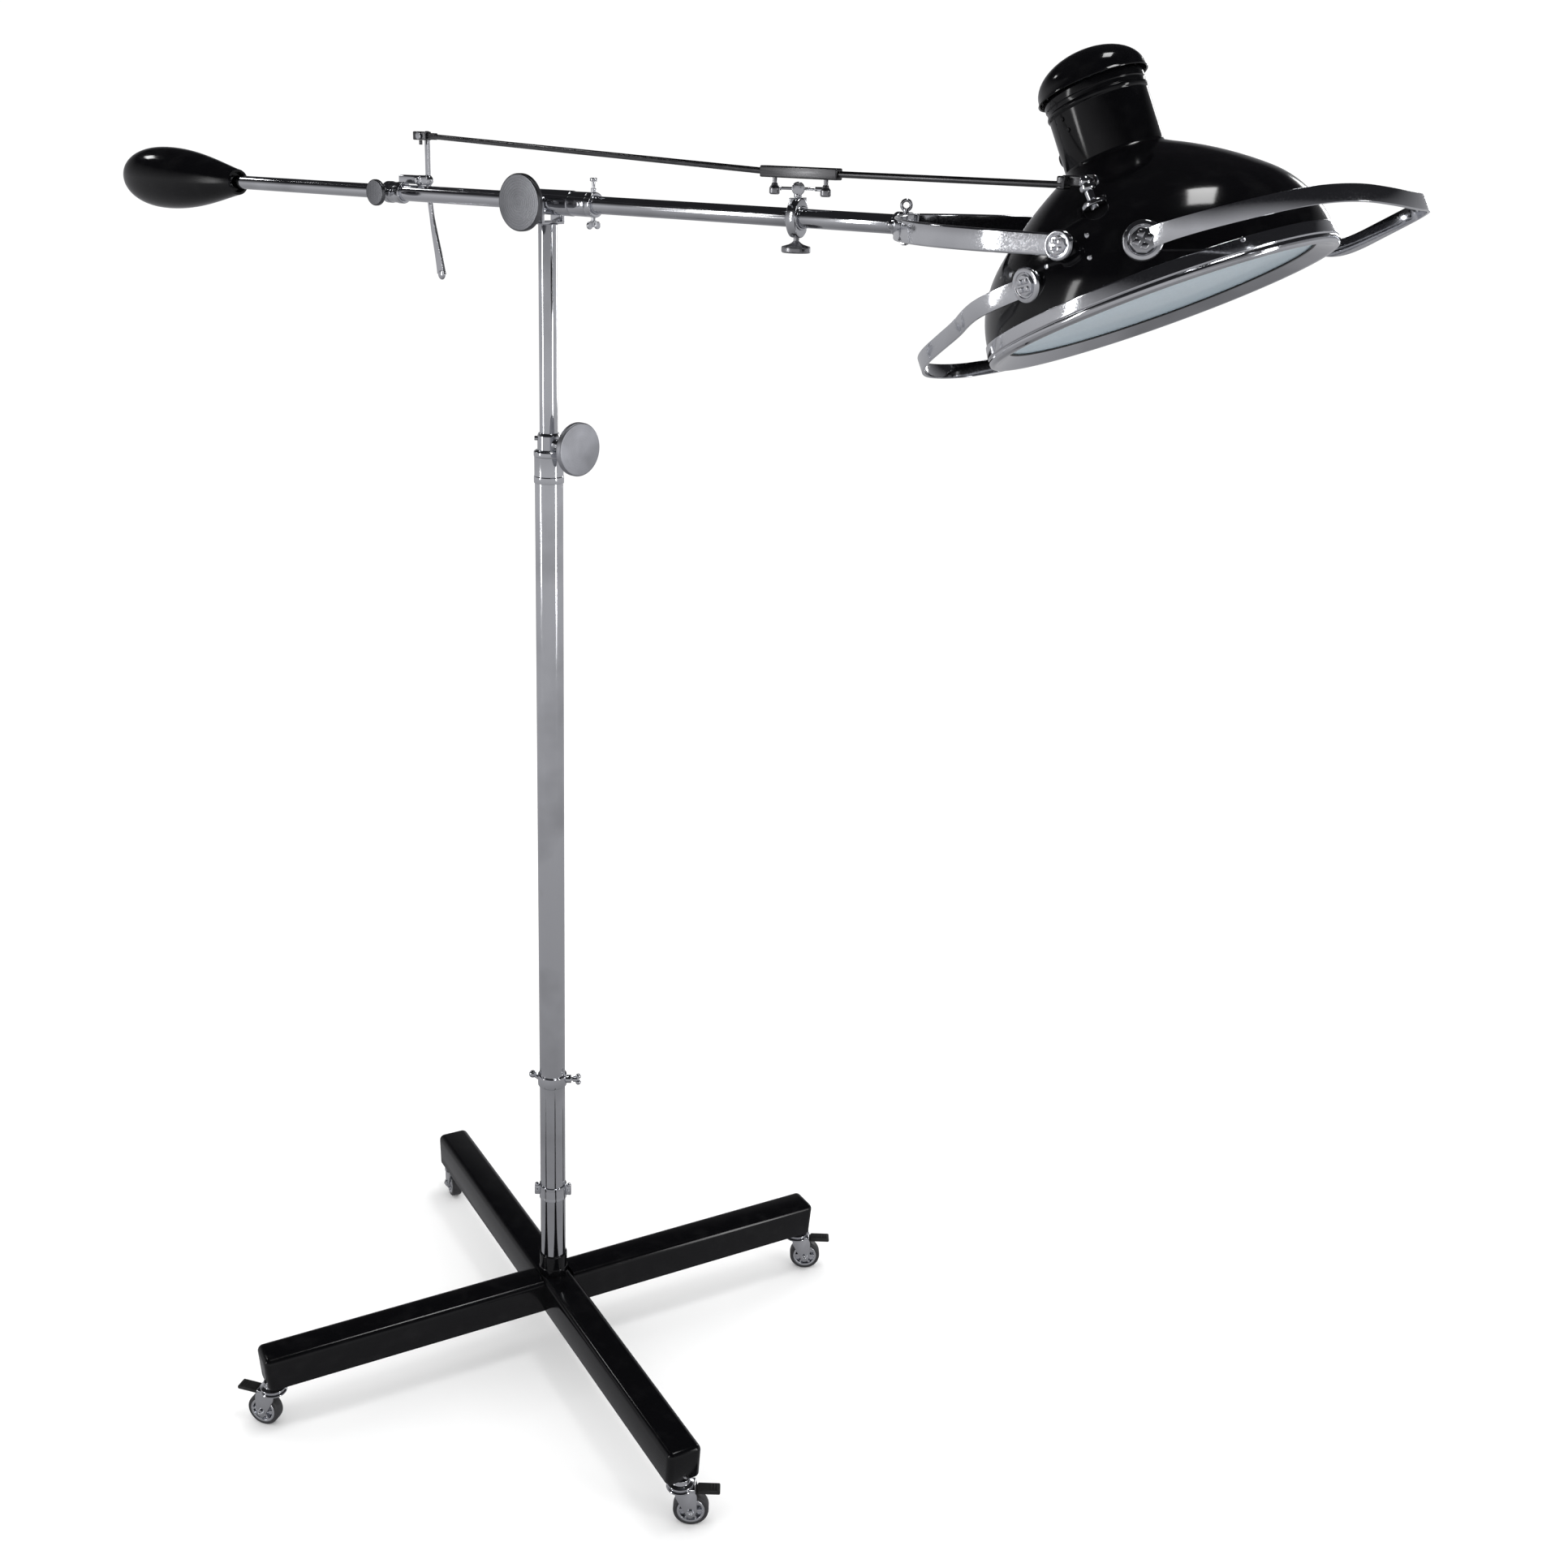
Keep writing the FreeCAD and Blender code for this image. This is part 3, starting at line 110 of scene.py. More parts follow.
class LampSizes(PropertyGroup):
    """Sizes of the visible pieces."""
    mast_radius: length("Mast radius", "Outside radius of the lower mast tube", 20)
    inner_radius: length("Inner mast radius", "Outside radius of the sliding mast tube", 12.7)
    boom_radius: length("Boom radius", "Outside radius of the boom tube", 11.25)
    knob_radius: length("Knob radius", "Radius of the two large disc knobs", 37)
    arm_width: length("Base arm width", "Width of the arms of the cross base", 54)
    arm_round: length("Base arm rounding", "Rounding of the upper edges of the arms", 10)
    strip_thickness: length("Yoke thickness", "Thickness of the yoke's strips", 5)
    handle_thickness: length("Handle thickness", "Thickness of the grab handles' strips", 3.4)
    weight_radius: length("Counterweight radius", "Largest radius of the counterweight", 47)
    wheel_radius: length("Wheel radius", "Radius of the caster wheels", 26)
    steps: IntProperty(name="Round steps", description="Segments of a turned piece", default=96, min=24)


class LampFinishes(PropertyGroup):
    """Colours of the finishes."""
    enamel: tone("Black enamel", "Colour of the gloss enamel", (0.002, 0.002, 0.0025))
    chrome: tone("Chrome", "Reflection colour of polished chrome", (0.78, 0.79, 0.82))
    dark_steel: tone("Dark steel", "Colour of the link rods", (0.16, 0.16, 0.165))
    turned_steel: tone("Turned steel", "Colour of the disc knobs", (0.62, 0.63, 0.67))
    lens: tone("Lens", "Colour of the frosted lens", (0.45, 0.56, 0.63))
    floor: tone("Floor", "Colour of the studio floor", (0.985, 0.985, 0.985))


def sizes():
    return bpy.context.scene.lamp_sizes


def finishes():
    return bpy.context.scene.lamp_finishes


# ---------------------------------------------------------------- materials
class Shader:
    """A material's node tree with short calls for the nodes that the finishes use."""

    def __init__(self, name):
        self.material = bpy.data.materials.new(name)
        self.material.use_nodes = True
        self.tree = self.material.node_tree
        self.base = self.tree.nodes["Principled BSDF"]
        self.place = self.node("ShaderNodeTexCoord").outputs["Object"]

    def node(self, kind, **values):
        made = self.tree.nodes.new(kind)
        for name, value in values.items():
            if hasattr(made, name):
                setattr(made, name, value)
            else:
                made.inputs[name.replace("_", " ")].default_value = value
        return made

    def link(self, source, target):
        self.tree.links.new(source, target)

    def set(self, **values):
        for name, value in values.items():
            self.base.inputs[name.replace("_", " ")].default_value = value

    def colour(self, rgb):
        self.base.inputs["Base Color"].default_value = (*rgb, 1)

    def noise(self, scale, detail=3.0, stretch=(1, 1, 1)):
        spread = self.node("ShaderNodeMapping")
        spread.inputs["Scale"].default_value = stretch
        self.link(self.place, spread.inputs["Vector"])
        made = self.node("ShaderNodeTexNoise", Scale=scale, Detail=detail)
        self.link(spread.outputs["Vector"], made.inputs["Vector"])
        return made.outputs["Fac"]

    def ramp(self, source, start, end, low_value, high_value):
        made = self.node("ShaderNodeMapRange")
        for name, value in (("From Min", start), ("From Max", end), ("To Min", low_value),
                            ("To Max", high_value)):
            made.inputs[name].default_value = value
        self.link(source, made.inputs["Value"])
        return made.outputs["Result"]

    def mix(self, factor, first, second):
        made = self.node("ShaderNodeMix", data_type="RGBA")
        self.link(factor, made.inputs["Factor"])
        made.inputs["A"].default_value = (*first, 1)
        made.inputs["B"].default_value = (*second, 1)
        return made.outputs["Result"]

    def bump(self, source, strength, distance):
        made = self.node("ShaderNodeBump", Strength=strength, Distance=distance)
        self.link(source, made.inputs["Height"])
        self.link(made.outputs["Normal"], self.base.inputs["Normal"])


def chrome_finish(name, scratch=(1, 1, 1)):
    """Polished chrome with haze, fine scratches and a few dull spots."""
    shade = Shader(name)
    bright = finishes().chrome
    haze = shade.noise(9.0)
    dulled = tuple(c * 0.72 for c in bright)
    shade.link(shade.mix(shade.ramp(haze, 0.45, 0.75, 0, 1), bright, dulled), shade.base.inputs["Base Color"])
    lines = shade.noise(600.0, 2.0, scratch)
    shade.link(shade.ramp(lines, 0.35, 0.8, 0.05, 0.2), shade.base.inputs["Roughness"])
    shade.bump(lines, 0.05, 0.0002)
    shade.set(Metallic=1.0)
    return shade.material


def enamel_finish(name, rough=0.08):
    """Gloss enamel with a slight orange peel and faint dust."""
    shade = Shader(name)
    dark = finishes().enamel
    dust = shade.noise(40.0, 6.0)
    worn = tuple(c + 0.003 for c in dark)
    shade.link(shade.mix(shade.ramp(dust, 0.5, 0.8, 0, 1), dark, worn), shade.base.inputs["Base Color"])
    shade.link(shade.ramp(shade.noise(14.0), 0.3, 0.7, rough, rough + 0.06), shade.base.inputs["Roughness"])
    shade.bump(shade.noise(220.0, 1.0), 0.03, 0.0004)
    shade.set(Specular_IOR_Level=0.38)
    return shade.material


def steel_finish(name, colour, rough=0.3, grain=(1, 1, 1)):
    """Satin metal with a directional grain."""
    shade = Shader(name)
    lines = shade.noise(350.0, 4.0, grain)
    darker = tuple(c * 0.7 for c in colour)
    shade.link(shade.mix(shade.ramp(lines, 0.3, 0.7, 0, 1), darker, tuple(colour)),
               shade.base.inputs["Base Color"])
    shade.link(shade.ramp(lines, 0.3, 0.7, rough - 0.08, rough + 0.1), shade.base.inputs["Roughness"])
    shade.bump(lines, 0.12, 0.0003)
    shade.set(Metallic=1.0)
    return shade.material


def turned_finish(name, centre, axis, colour, rough=0.32):
    """Faced steel with concentric tool marks about an axis through a centre."""
    shade = Shader(name)
    centred = shade.node("ShaderNodeMapping", vector_type="TEXTURE")
    centred.inputs["Location"].default_value = centre
    centred.inputs["Rotation"].default_value = UP.rotation_difference(axis).to_euler()
    shade.link(shade.place, centred.inputs["Vector"])
    rings = shade.node("ShaderNodeTexWave", wave_type="RINGS", rings_direction="Z", Scale=90.0,
                       Distortion=1.5)
    shade.link(centred.outputs["Vector"], rings.inputs["Vector"])
    marks = rings.outputs["Fac"]
    clouds = shade.noise(25.0, 5.0)
    shade.link(shade.mix(shade.ramp(clouds, 0.35, 0.7, 0, 1), tuple(colour), tuple(c * 0.72 for c in colour)),
               shade.base.inputs["Base Color"])
    shade.link(shade.ramp(marks, 0.0, 1.0, rough - 0.05, rough + 0.08), shade.base.inputs["Roughness"])
    shade.bump(marks, 0.10, 0.0002)
    shade.set(Metallic=1.0, Anisotropic=0.5)
    return shade.material


def plastic_finish(name, colour, rough=0.45):
    """Moulded plastic or rubber with a fine grain."""
    shade = Shader(name)
    grain = shade.noise(500.0, 3.0)
    lighter = tuple(c * 1.5 + 0.004 for c in colour)
    shade.link(shade.mix(shade.ramp(grain, 0.4, 0.7, 0, 1), tuple(colour), lighter),
               shade.base.inputs["Base Color"])
    shade.link(shade.ramp(grain, 0.3, 0.7, rough - 0.06, rough + 0.08), shade.base.inputs["Roughness"])
    shade.bump(grain, 0.08, 0.0003)
    return shade.material


def lens_finish(name):
    """Frosted glass lit from within the shade."""
    shade = Shader(name)
    tint = finishes().lens
    clouds = shade.noise(5.0, 2.0)
    shade.link(shade.mix(shade.ramp(clouds, 0.35, 0.65, 0, 1), tint, tuple(c * 1.12 for c in tint)),
               shade.base.inputs["Base Color"])
    shade.link(shade.ramp(shade.noise(300.0), 0.3, 0.7, 0.28, 0.4), shade.base.inputs["Roughness"])
    shade.set(Transmission_Weight=0.35, IOR=1.5, Coat_Weight=0.5, Coat_Roughness=0.08)
    return shade.material


def glass_finish(name, colour, rough):
    """Thin milky glass."""
    shade = Shader(name)
    haze = shade.noise(30.0)
    shade.link(shade.mix(haze, tuple(colour), tuple(c * 0.9 for c in colour)),
               shade.base.inputs["Base Color"])
    shade.link(shade.ramp(haze, 0.3, 0.7, rough, rough + 0.1), shade.base.inputs["Roughness"])
    shade.set(Transmission_Weight=0.6, IOR=1.45)
    return shade.material


MATERIALS = {}


def material(name):
    return MATERIALS[name]


# ---------------------------------------------------------------- mesh helpers
def rounded(mesh, edges, offset, bends):
    """Round some edges of a mesh."""
    bmesh.ops.bevel(mesh, geom=edges, offset=offset, offset_type="OFFSET", segments=bends, profile=0.5,
                    affect="EDGES", material=-1, clamp_overlap=True)


def placed(mesh, matrix):
    bmesh.ops.transform(mesh, matrix=matrix, verts=mesh.verts)
    return mesh


def softened(points, radius, closed=True, bends=3):
    """Outline with each corner rounded by an arc, limited by the sides that meet there."""
    result = []
    count = len(points)
    for index, (x, y) in enumerate(points):
        here = Vector((x, y))
        before = Vector(points[index - 1])
        after = Vector(points[(index + 1) % count])
        end = not closed and index in (0, count - 1)
        if end or x <= 0:
            result.append((x, y))
            continue
        cut = min(radius, (here - before).length * 0.45, (here - after).length * 0.45)
        first = here + (before - here).normalized() * cut
        last = here + (after - here).normalized() * cut
        for k in range(bends + 1):
            t = k / bends
            point = first * (1 - t) ** 2 + here * 2 * t * (1 - t) + last * t ** 2
            result.append((point.x, point.y))
    return result


def toward(axis, origin=(0, 0, 0)):
    """Placement that turns +Z to an axis and moves to an origin."""
    return Matrix.Translation(origin) @ UP.rotation_difference(Vector(axis)).to_matrix().to_4x4()


def turned(profile, origin=(0, 0, 0), axis=UP, radius=0.0, closed=True, steps=None):
    """Mesh spun from (radius, height) points about an axis."""
    steps = steps or sizes().steps
    mesh = bmesh.new()
    outline = softened(profile, radius, closed) if radius else profile
    verts = [mesh.verts.new((r, 0, h)) for r, h in outline]
    pairs = list(zip(verts, verts[1:])) + ([(verts[-1], verts[0])] if closed else [])
    edges = [mesh.edges.new(pair) for pair in pairs]
    bmesh.ops.spin(mesh, geom=verts + edges, cent=(0, 0, 0), axis=(0, 0, 1), dvec=(0, 0, 0), angle=math.tau,
                   steps=steps, use_merge=True, use_duplicate=False)
    bmesh.ops.remove_doubles(mesh, verts=mesh.verts, dist=1e-6)
    bmesh.ops.dissolve_degenerate(mesh, edges=mesh.edges, dist=1e-7)
    bmesh.ops.recalc_face_normals(mesh, faces=mesh.faces)
    return placed(mesh, toward(axis, origin))


def bar(radius, start, end, edge=0.0, steps=None):
    """Solid round bar between two points."""
    start = Vector(start)
    end = Vector(end)
    length = (end - start).length
    return turned([(0, 0), (radius, 0), (radius, length), (0, length)], start, end - start, edge, False,
                  steps or max(24, sizes().steps // 2))


def axis_bar(radius, origin, axis, start, end, edge=0.0, steps=None):
    """Solid round bar between two distances along an axis, all in millimetres."""
    return bar(radius * MM, origin + axis * start * MM, origin + axis * end * MM, edge * MM, steps)


def pipe(outer, inner, start, end, edge=0.0, steps=None):
    """Hollow round tube between two points."""
    start = Vector(start)
    end = Vector(end)
    length = (end - start).length
    profile = [(inner, 0), (outer, 0), (outer, length), (inner, length)]
    return turned(profile, start, end - start, edge, True, steps)


def ball(radius, centre, steps=24):
    mesh = bmesh.new()
    bmesh.ops.create_uvsphere(mesh, u_segments=steps, v_segments=steps // 2, radius=radius)
    bmesh.ops.translate(mesh, vec=centre, verts=mesh.verts)
    return mesh


def block(size, centre, edge, turn=0.0, axis="Z", bends=3):
    """Rounded box of a size, turned about an axis and moved to its centre."""
    mesh = bmesh.new()
    bmesh.ops.create_cube(mesh, size=1.0)
    bmesh.ops.scale(mesh, vec=size, verts=mesh.verts)
    if edge:
        rounded(mesh, mesh.edges, edge, bends)
    return placed(mesh, Matrix.Translation(centre) @ Matrix.Rotation(turn, 4, axis))


def plate(outline, thickness, edge, placement, bends=2):
    """Flat plate cut to an outline in its own XY plane, with rounded edges."""
    mesh = bmesh.new()
    face = mesh.faces.new([mesh.verts.new((x, y, 0)) for x, y in outline])
    grown = bmesh.ops.extrude_face_region(mesh, geom=[face])["geom"]
    raised = [item for item in grown if isinstance(item, bmesh.types.BMVert)]
    bmesh.ops.translate(mesh, vec=(0, 0, thickness), verts=raised)
    bmesh.ops.recalc_face_normals(mesh, faces=mesh.faces)
    if edge:
        rims = [e for e in mesh.edges if abs(e.verts[0].co.z - e.verts[1].co.z) < 1e-7]
        rounded(mesh, rims, edge, bends)
    return placed(mesh, placement)


def strap(path, width_axis, widths, thickness, edge):
    """Polished strip of a thickness centred on a path, on edge along an axis, with a width at each point."""
    mesh = bmesh.new()
    rows = []
    for sign in (-0.5, 0.5):
        row = [mesh.verts.new(Vector(point) + width_axis * sign * width) for point,
               width in zip(path, widths)]
        rows += [mesh.edges.new(pair) for pair in zip(row, row[1:])]
    bmesh.ops.bridge_loops(mesh, edges=rows)
    bmesh.ops.recalc_face_normals(mesh, faces=mesh.faces)
    mesh.normal_update()
    for vert in mesh.verts:
        vert.co += vert.normal * thickness / 2
    bmesh.ops.solidify(mesh, geom=mesh.faces[:] + mesh.edges[:] + mesh.verts[:], thickness=thickness)
    bmesh.ops.recalc_face_normals(mesh, faces=mesh.faces)
    sharp = [e for e in mesh.edges if len(e.link_faces) == 2 and e.calc_face_angle(0) > math.radians(50)]
    rounded(mesh, sharp, edge, 4)
    return mesh


def joined(*parts):
    """One mesh from several."""
    whole = bmesh.new()
    for part in parts:
        data = bpy.data.meshes.new("part")
        part.to_mesh(data)
        part.free()
        whole.from_mesh(data)
        bpy.data.meshes.remove(data)
    return whole


def piece(name, mesh, finish, body, slot, *nodes, sharp=38):
    """Make an object of a mesh, give it a finish, hang it on its body and hide the CAD nodes that it
    replaces.
    """
    data = bpy.data.meshes.new(name)
    mesh.to_mesh(data)
    mesh.free()
    data.shade_smooth()
    data.set_sharp_from_angle(angle=math.radians(sharp))
    made = bpy.data.objects.new(name, data)
    bpy.context.scene.collection.objects.link(made)
    data.materials.append(material(finish))
    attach(made, body)
    if nodes:
        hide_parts(*nodes)
    return made


def boom(x, y=0.0, z=0.0):
    """A point given in millimetres from the middle of the boom's tilt axis."""
    return BOOM + Vector((x, y, z)) * MM


def shade(out, side, up):
    """A point given in millimetres in the shade's own axes, from its tilt axis."""
    return HEAD + (SHADE_OUT * out + ACROSS * side + SHADE_UP * up) * MM


def yaw(angle, z=0.0, radius=1.0):
    return Vector((math.cos(angle) * radius, math.sin(angle) * radius, z))


# ---------------------------------------------------------------- stage
class LAMP_OT_stage(Operator):
    """Set the floor, the studio light and the camera"""
    bl_idname = "lamp.stage"
    bl_label = "Stage"

    def execute(self, context):
        floor = bmesh.new()
        bmesh.ops.create_circle(floor, cap_ends=True, segments=96, radius=FLOOR_RADIUS)
        stage_object(context, "floor", floor, floor_finish()).visible_glossy = False
        dark_room(context)
        for name, place, aim, size, power in (
                ("right_softbox", (6.2, 1.0, 2.0), (0.4, 0, 1.2), (0.8, 3.4), 62),
                ("left_softbox", (-3.2, -6.0, 2.2), (0, 0, 1.2), (0.7, 3.6), 62),
                ("back_softbox", (0.0, 6.8, 2.2), (0.3, 0, 1.4), (0.8, 3.0), 40),
                ("weight_softbox", (-5.6, -0.6, 5.2), (-0.8, 0, 1.8), (0.9, 0.5), 14),
                ("top_softbox", (1.2, 0.6, 6.4), (0.6, 0.2, 0), (1.6, 1.0), 60)):
            add_softbox(context, name, Vector(place), Vector(aim), size, power)
        world = bpy.data.worlds.new("studio")
        world.use_nodes = True
        sky = world.node_tree.nodes["Background"]
        sky.inputs["Color"].default_value = (1.0, 1.0, 1.0, 1)
        sky.inputs["Strength"].default_value = 1.04
        context.scene.world = world
        context.scene.view_settings.view_transform = "Standard"
        add_camera(context)
        return {"FINISHED"}


def floor_finish():
    shader = Shader("studio_floor")
    tone = finishes().floor
    cloud = shader.noise(1.5, 2.0)
    shader.link(shader.mix(cloud, tone, tuple(c * 0.995 for c in tone)), shader.base.inputs["Base Color"])
    shader.set(Roughness=0.9)
    shader.base.inputs["Specular IOR Level"].default_value = 0.0
    return shader.material


def dark_room(context):
    """A dim shell that only reflections see, as the unlit part of a studio."""
    mesh = bmesh.new()
    bmesh.ops.create_uvsphere(mesh, u_segments=48, v_segments=24, radius=ROOM_RADIUS)
    walls = Shader("room_wall")
    walls.colour((0, 0, 0))
    parts = walls.node("ShaderNodeSeparateXYZ")
    walls.link(walls.place, parts.inputs["Vector"])
    band = walls.node("ShaderNodeMath", operation="MULTIPLY")
    walls.link(walls.ramp(parts.outputs["Z"], 1.5, 6.5, 1, 0), band.inputs[0])
    walls.link(walls.ramp(parts.outputs["Z"], -11.0, 0.5, 0.45, 1), band.inputs[1])
    walls.link(walls.mix(band.outputs[0], (0.015, 0.015, 0.017), (0.44, 0.44, 0.455)),
               walls.base.inputs["Emission Color"])
    walls.set(Emission_Strength=1.0, Roughness=1.0)
    room = stage_object(context, "dark_room", mesh, walls.material)
    for kind in ("camera", "diffuse", "transmission", "volume_scatter", "shadow"):
        setattr(room, "visible_" + kind, False)


def stage_object(context, name, mesh, material_made):
    """Link a stage mesh with its material; it hangs on no body of the lamp."""
    data = bpy.data.meshes.new(name)
    mesh.to_mesh(data)
    mesh.free()
    made = bpy.data.objects.new(name, data)
    context.scene.collection.objects.link(made)
    data.materials.append(material_made)
    return made


def add_softbox(context, name, place, aim, size, power):
    light = bpy.data.lights.new(name, "AREA")
    light.shape = "RECTANGLE"
    light.size, light.size_y = size
    light.energy = power
    lamp = bpy.data.objects.new(name, light)
    lamp.location = place
    lamp.rotation_mode = "QUATERNION"
    lamp.rotation_quaternion = (aim - place).to_track_quat("-Z", "Y")
    lamp.visible_camera = False
    context.scene.collection.objects.link(lamp)


def add_camera(context):
    """Camera in front and to the right of the mast, a little above the boom."""
    turn, fall, roll = math.radians(126.95), math.radians(19.1), math.radians(1.73)
    ahead = Vector((math.cos(turn) * math.cos(fall), math.sin(turn) * math.cos(fall), -math.sin(fall)))
    right = ahead.cross(UP).normalized()
    upward = right.cross(ahead)
    turned_right = right * math.cos(roll) + upward * math.sin(roll)
    turned_up = upward * math.cos(roll) - right * math.sin(roll)
    view = bpy.data.cameras.new("camera")
    view.lens = 41.35
    view.sensor_width = 36.0
    view.shift_x = 0.03
    view.shift_y = -0.02
    camera = bpy.data.objects.new("camera", view)
    context.scene.collection.objects.link(camera)
    columns = Matrix((turned_right, turned_up, -ahead)).transposed()
    camera.matrix_world = Matrix.Translation((1.7384, -1.8509, 1.9201)) @ columns.to_4x4()
    context.scene.camera = camera


class LAMP_OT_finishes(Operator):
    """Make the metals, enamels, plastics and glass"""
    bl_idname = "lamp.finishes"
    bl_label = "Finishes"

    def execute(self, context):
        tones = finishes()
        made = {
            "chrome": chrome_finish("polished_chrome"),
            "mast_chrome": chrome_finish("mast_chrome", (1, 1, 0.03)),
            "boom_chrome": chrome_finish("boom_chrome", (0.03, 1, 1)),
            "enamel": enamel_finish("black_enamel"),
            "base_enamel": enamel_finish("base_enamel", 0.12),
            "dark_steel": steel_finish("dark_steel", tones.dark_steel, 0.3, (0.05, 1, 1)),
            "satin_steel": steel_finish("satin_steel", (0.5, 0.5, 0.52), 0.32),
            # The tilt knob and the rod's thumb knob take the disc knobs' steel at 0.4 of its brightness: a
            # shaded copy of the same steel, painted shade.
            "tilt_knob": turned_finish("tilt_knob_face", BOOM, ACROSS,
                                       tuple(c * 0.4 for c in tones.turned_steel)),
            "mast_knob": turned_finish("mast_knob_face", pivot("mast_lock_turn"),
                                       Vector(joint("mast_lock_turn")["axis"]),
                                       tones.turned_steel, 0.42),
            "black_plastic": plastic_finish("black_plastic", (0.008, 0.008, 0.008)),
            "tread": plastic_finish("grey_tread", (0.022, 0.022, 0.024), 0.4),
            "lens": lens_finish("frosted_lens"),
            "bulb_glass": glass_finish("bulb_glass", (0.9, 0.9, 0.88), 0.2),
            "brass": steel_finish("brass", (0.7, 0.5, 0.22), 0.3),
            "iron": plastic_finish("cast_iron", (0.05, 0.05, 0.05), 0.6),
        }
        MATERIALS.update(made)
        return {"FINISHED"}


# ---------------------------------------------------------------- base and casters
def base_bar(start, end, foot, top, angle):
    """Rounded box section from one distance to another along a direction; both ends may be outer ends."""
    width = sizes().arm_width
    soft = sizes().arm_round
    mesh = bmesh.new()
    bmesh.ops.create_cube(mesh, size=1.0)
    bmesh.ops.scale(mesh, vec=(end - start, width, top - foot), verts=mesh.verts)
    bmesh.ops.translate(mesh, vec=((start + end) / 2, 0, (foot + top) / 2), verts=mesh.verts)
    outer_ends = [x for x in (start, end) if abs(x) > 0.2]
    for vert in mesh.verts:
        if vert.co.z < (foot + top) / 2 and any(abs(vert.co.x - x) < MM for x in outer_ends):
            vert.co.x -= math.copysign(5 * MM, vert.co.x)
    middle = (foot + top) / 2

    def upper(edge):
        return all(v.co.z > middle for v in edge.verts) and not at_root(edge)

    def at_root(edge):
        return all(abs(v.co.x) < 0.2 for v in edge.verts)

    def upright(edge):
        return abs(edge.verts[0].co.z - edge.verts[1].co.z) > 0.02 and not at_root(edge)

    shoulders = [e for e in mesh.edges if upper(e) or upright(e)]
    rounded(mesh, shoulders, soft, 6)
    hems = [e for e in mesh.edges if all(abs(v.co.z - foot) < MM / 10 for v in e.verts) and not at_root(e)]
    rounded(mesh, hems, 2 * MM, 2)
    bmesh.ops.rotate(mesh, cent=(0, 0, 0), matrix=Matrix.Rotation(angle, 3, "Z"), verts=mesh.verts)
    return mesh


class LAMP_OT_base(Operator):
    """Build the cross base and the socket for the mast"""
    bl_idname = "lamp.base"
    bl_label = "Cross base"

    def execute(self, context):
        foot, top = low("base_beam").z, high("base_beam").z
        half = sizes().arm_width / 2
        piece("base_beam_shell", base_bar(-ARM_REACH, ARM_REACH, foot, top, BASE_YAW), "base_enamel", "base",
              "base_enamel",
              "base_beam")
        for name, turn in (("rear", math.pi / 2), ("front", math.pi * 1.5)):
            arm = base_bar(half - MM, ARM_REACH, foot, top, BASE_YAW + turn)
            piece("base_arm_%s_shell" % name, arm, "base_enamel", "base", "base_enamel", "base_arm_" + name)
        crown = high("mast_socket").z
        stages = [(20.1 * MM, top), (23 * MM, top), (23 * MM, SOCKET_SEAM - MM), (22.2 * MM, SOCKET_SEAM),
                  (22.2 * MM, 171 * MM),
                  (20.1 * MM, 171 * MM)]
        socket = joined(turned(stages, radius=0.8 * MM),
                        bar(17.5 * MM, (0, 0, SOCKET_SEAM - MM), (0, 0, crown)))
        piece("mast_socket_shell", socket, "base_enamel", "base", "socket_black", "mast_socket")
        return {"FINISHED"}


def caster_place(number):
    """Placement of a caster: its swivel axis and the heading of its wheel."""
    swivel = pivot("caster_%d_swivel" % number)
    axle = pivot("caster_%d_roll" % number)
    heading = math.atan2(axle.y - swivel.y, axle.x - swivel.x)
    return Matrix.Translation((swivel.x, swivel.y, 0)) @ Matrix.Rotation(heading, 4, "Z")


def wheel_mesh(trail):
    """Tread ring, and a plated wheel disc with spokes on both sides."""
    radius = sizes().wheel_radius
    axis = ACROSS
    middle = (trail, 0, radius)
    tread = turned([(19 * MM, -9 * MM), (radius, -9 * MM), (radius, 9 * MM), (19 * MM, 9 * MM)], middle, axis,
                   3.2 * MM, steps=48)
    rim = turned([(16.5 * MM, -9.6 * MM), (20.5 * MM, -9.6 * MM), (20.5 * MM, 9.6 * MM),
                  (16.5 * MM, 9.6 * MM)],
                 middle, axis, 1.2 * MM, steps=48)
    web = turned([(3.2 * MM, -3 * MM), (17 * MM, -3 * MM), (17 * MM, 3 * MM), (3.2 * MM, 3 * MM)], middle,
                 axis,
                 steps=48)
    hub = turned([(3.2 * MM, -10 * MM), (6.5 * MM, -10 * MM), (7.5 * MM, -7 * MM), (7.5 * MM, 7 * MM),
                  (6.5 * MM, 10 * MM), (3.2 * MM, 10 * MM)], middle, axis, 0.8 * MM, steps=32)
    spokes = []
    for index in range(6):
        turn = math.tau * index / 6
        centre = Vector(middle) + Vector((math.cos(turn), 0, math.sin(turn))) * 12 * MM
        spokes.append(block((11 * MM, 17 * MM, 3.4 * MM), centre, MM, -turn, "Y", 2))
    return tread, joined(rim, web, hub, *spokes)


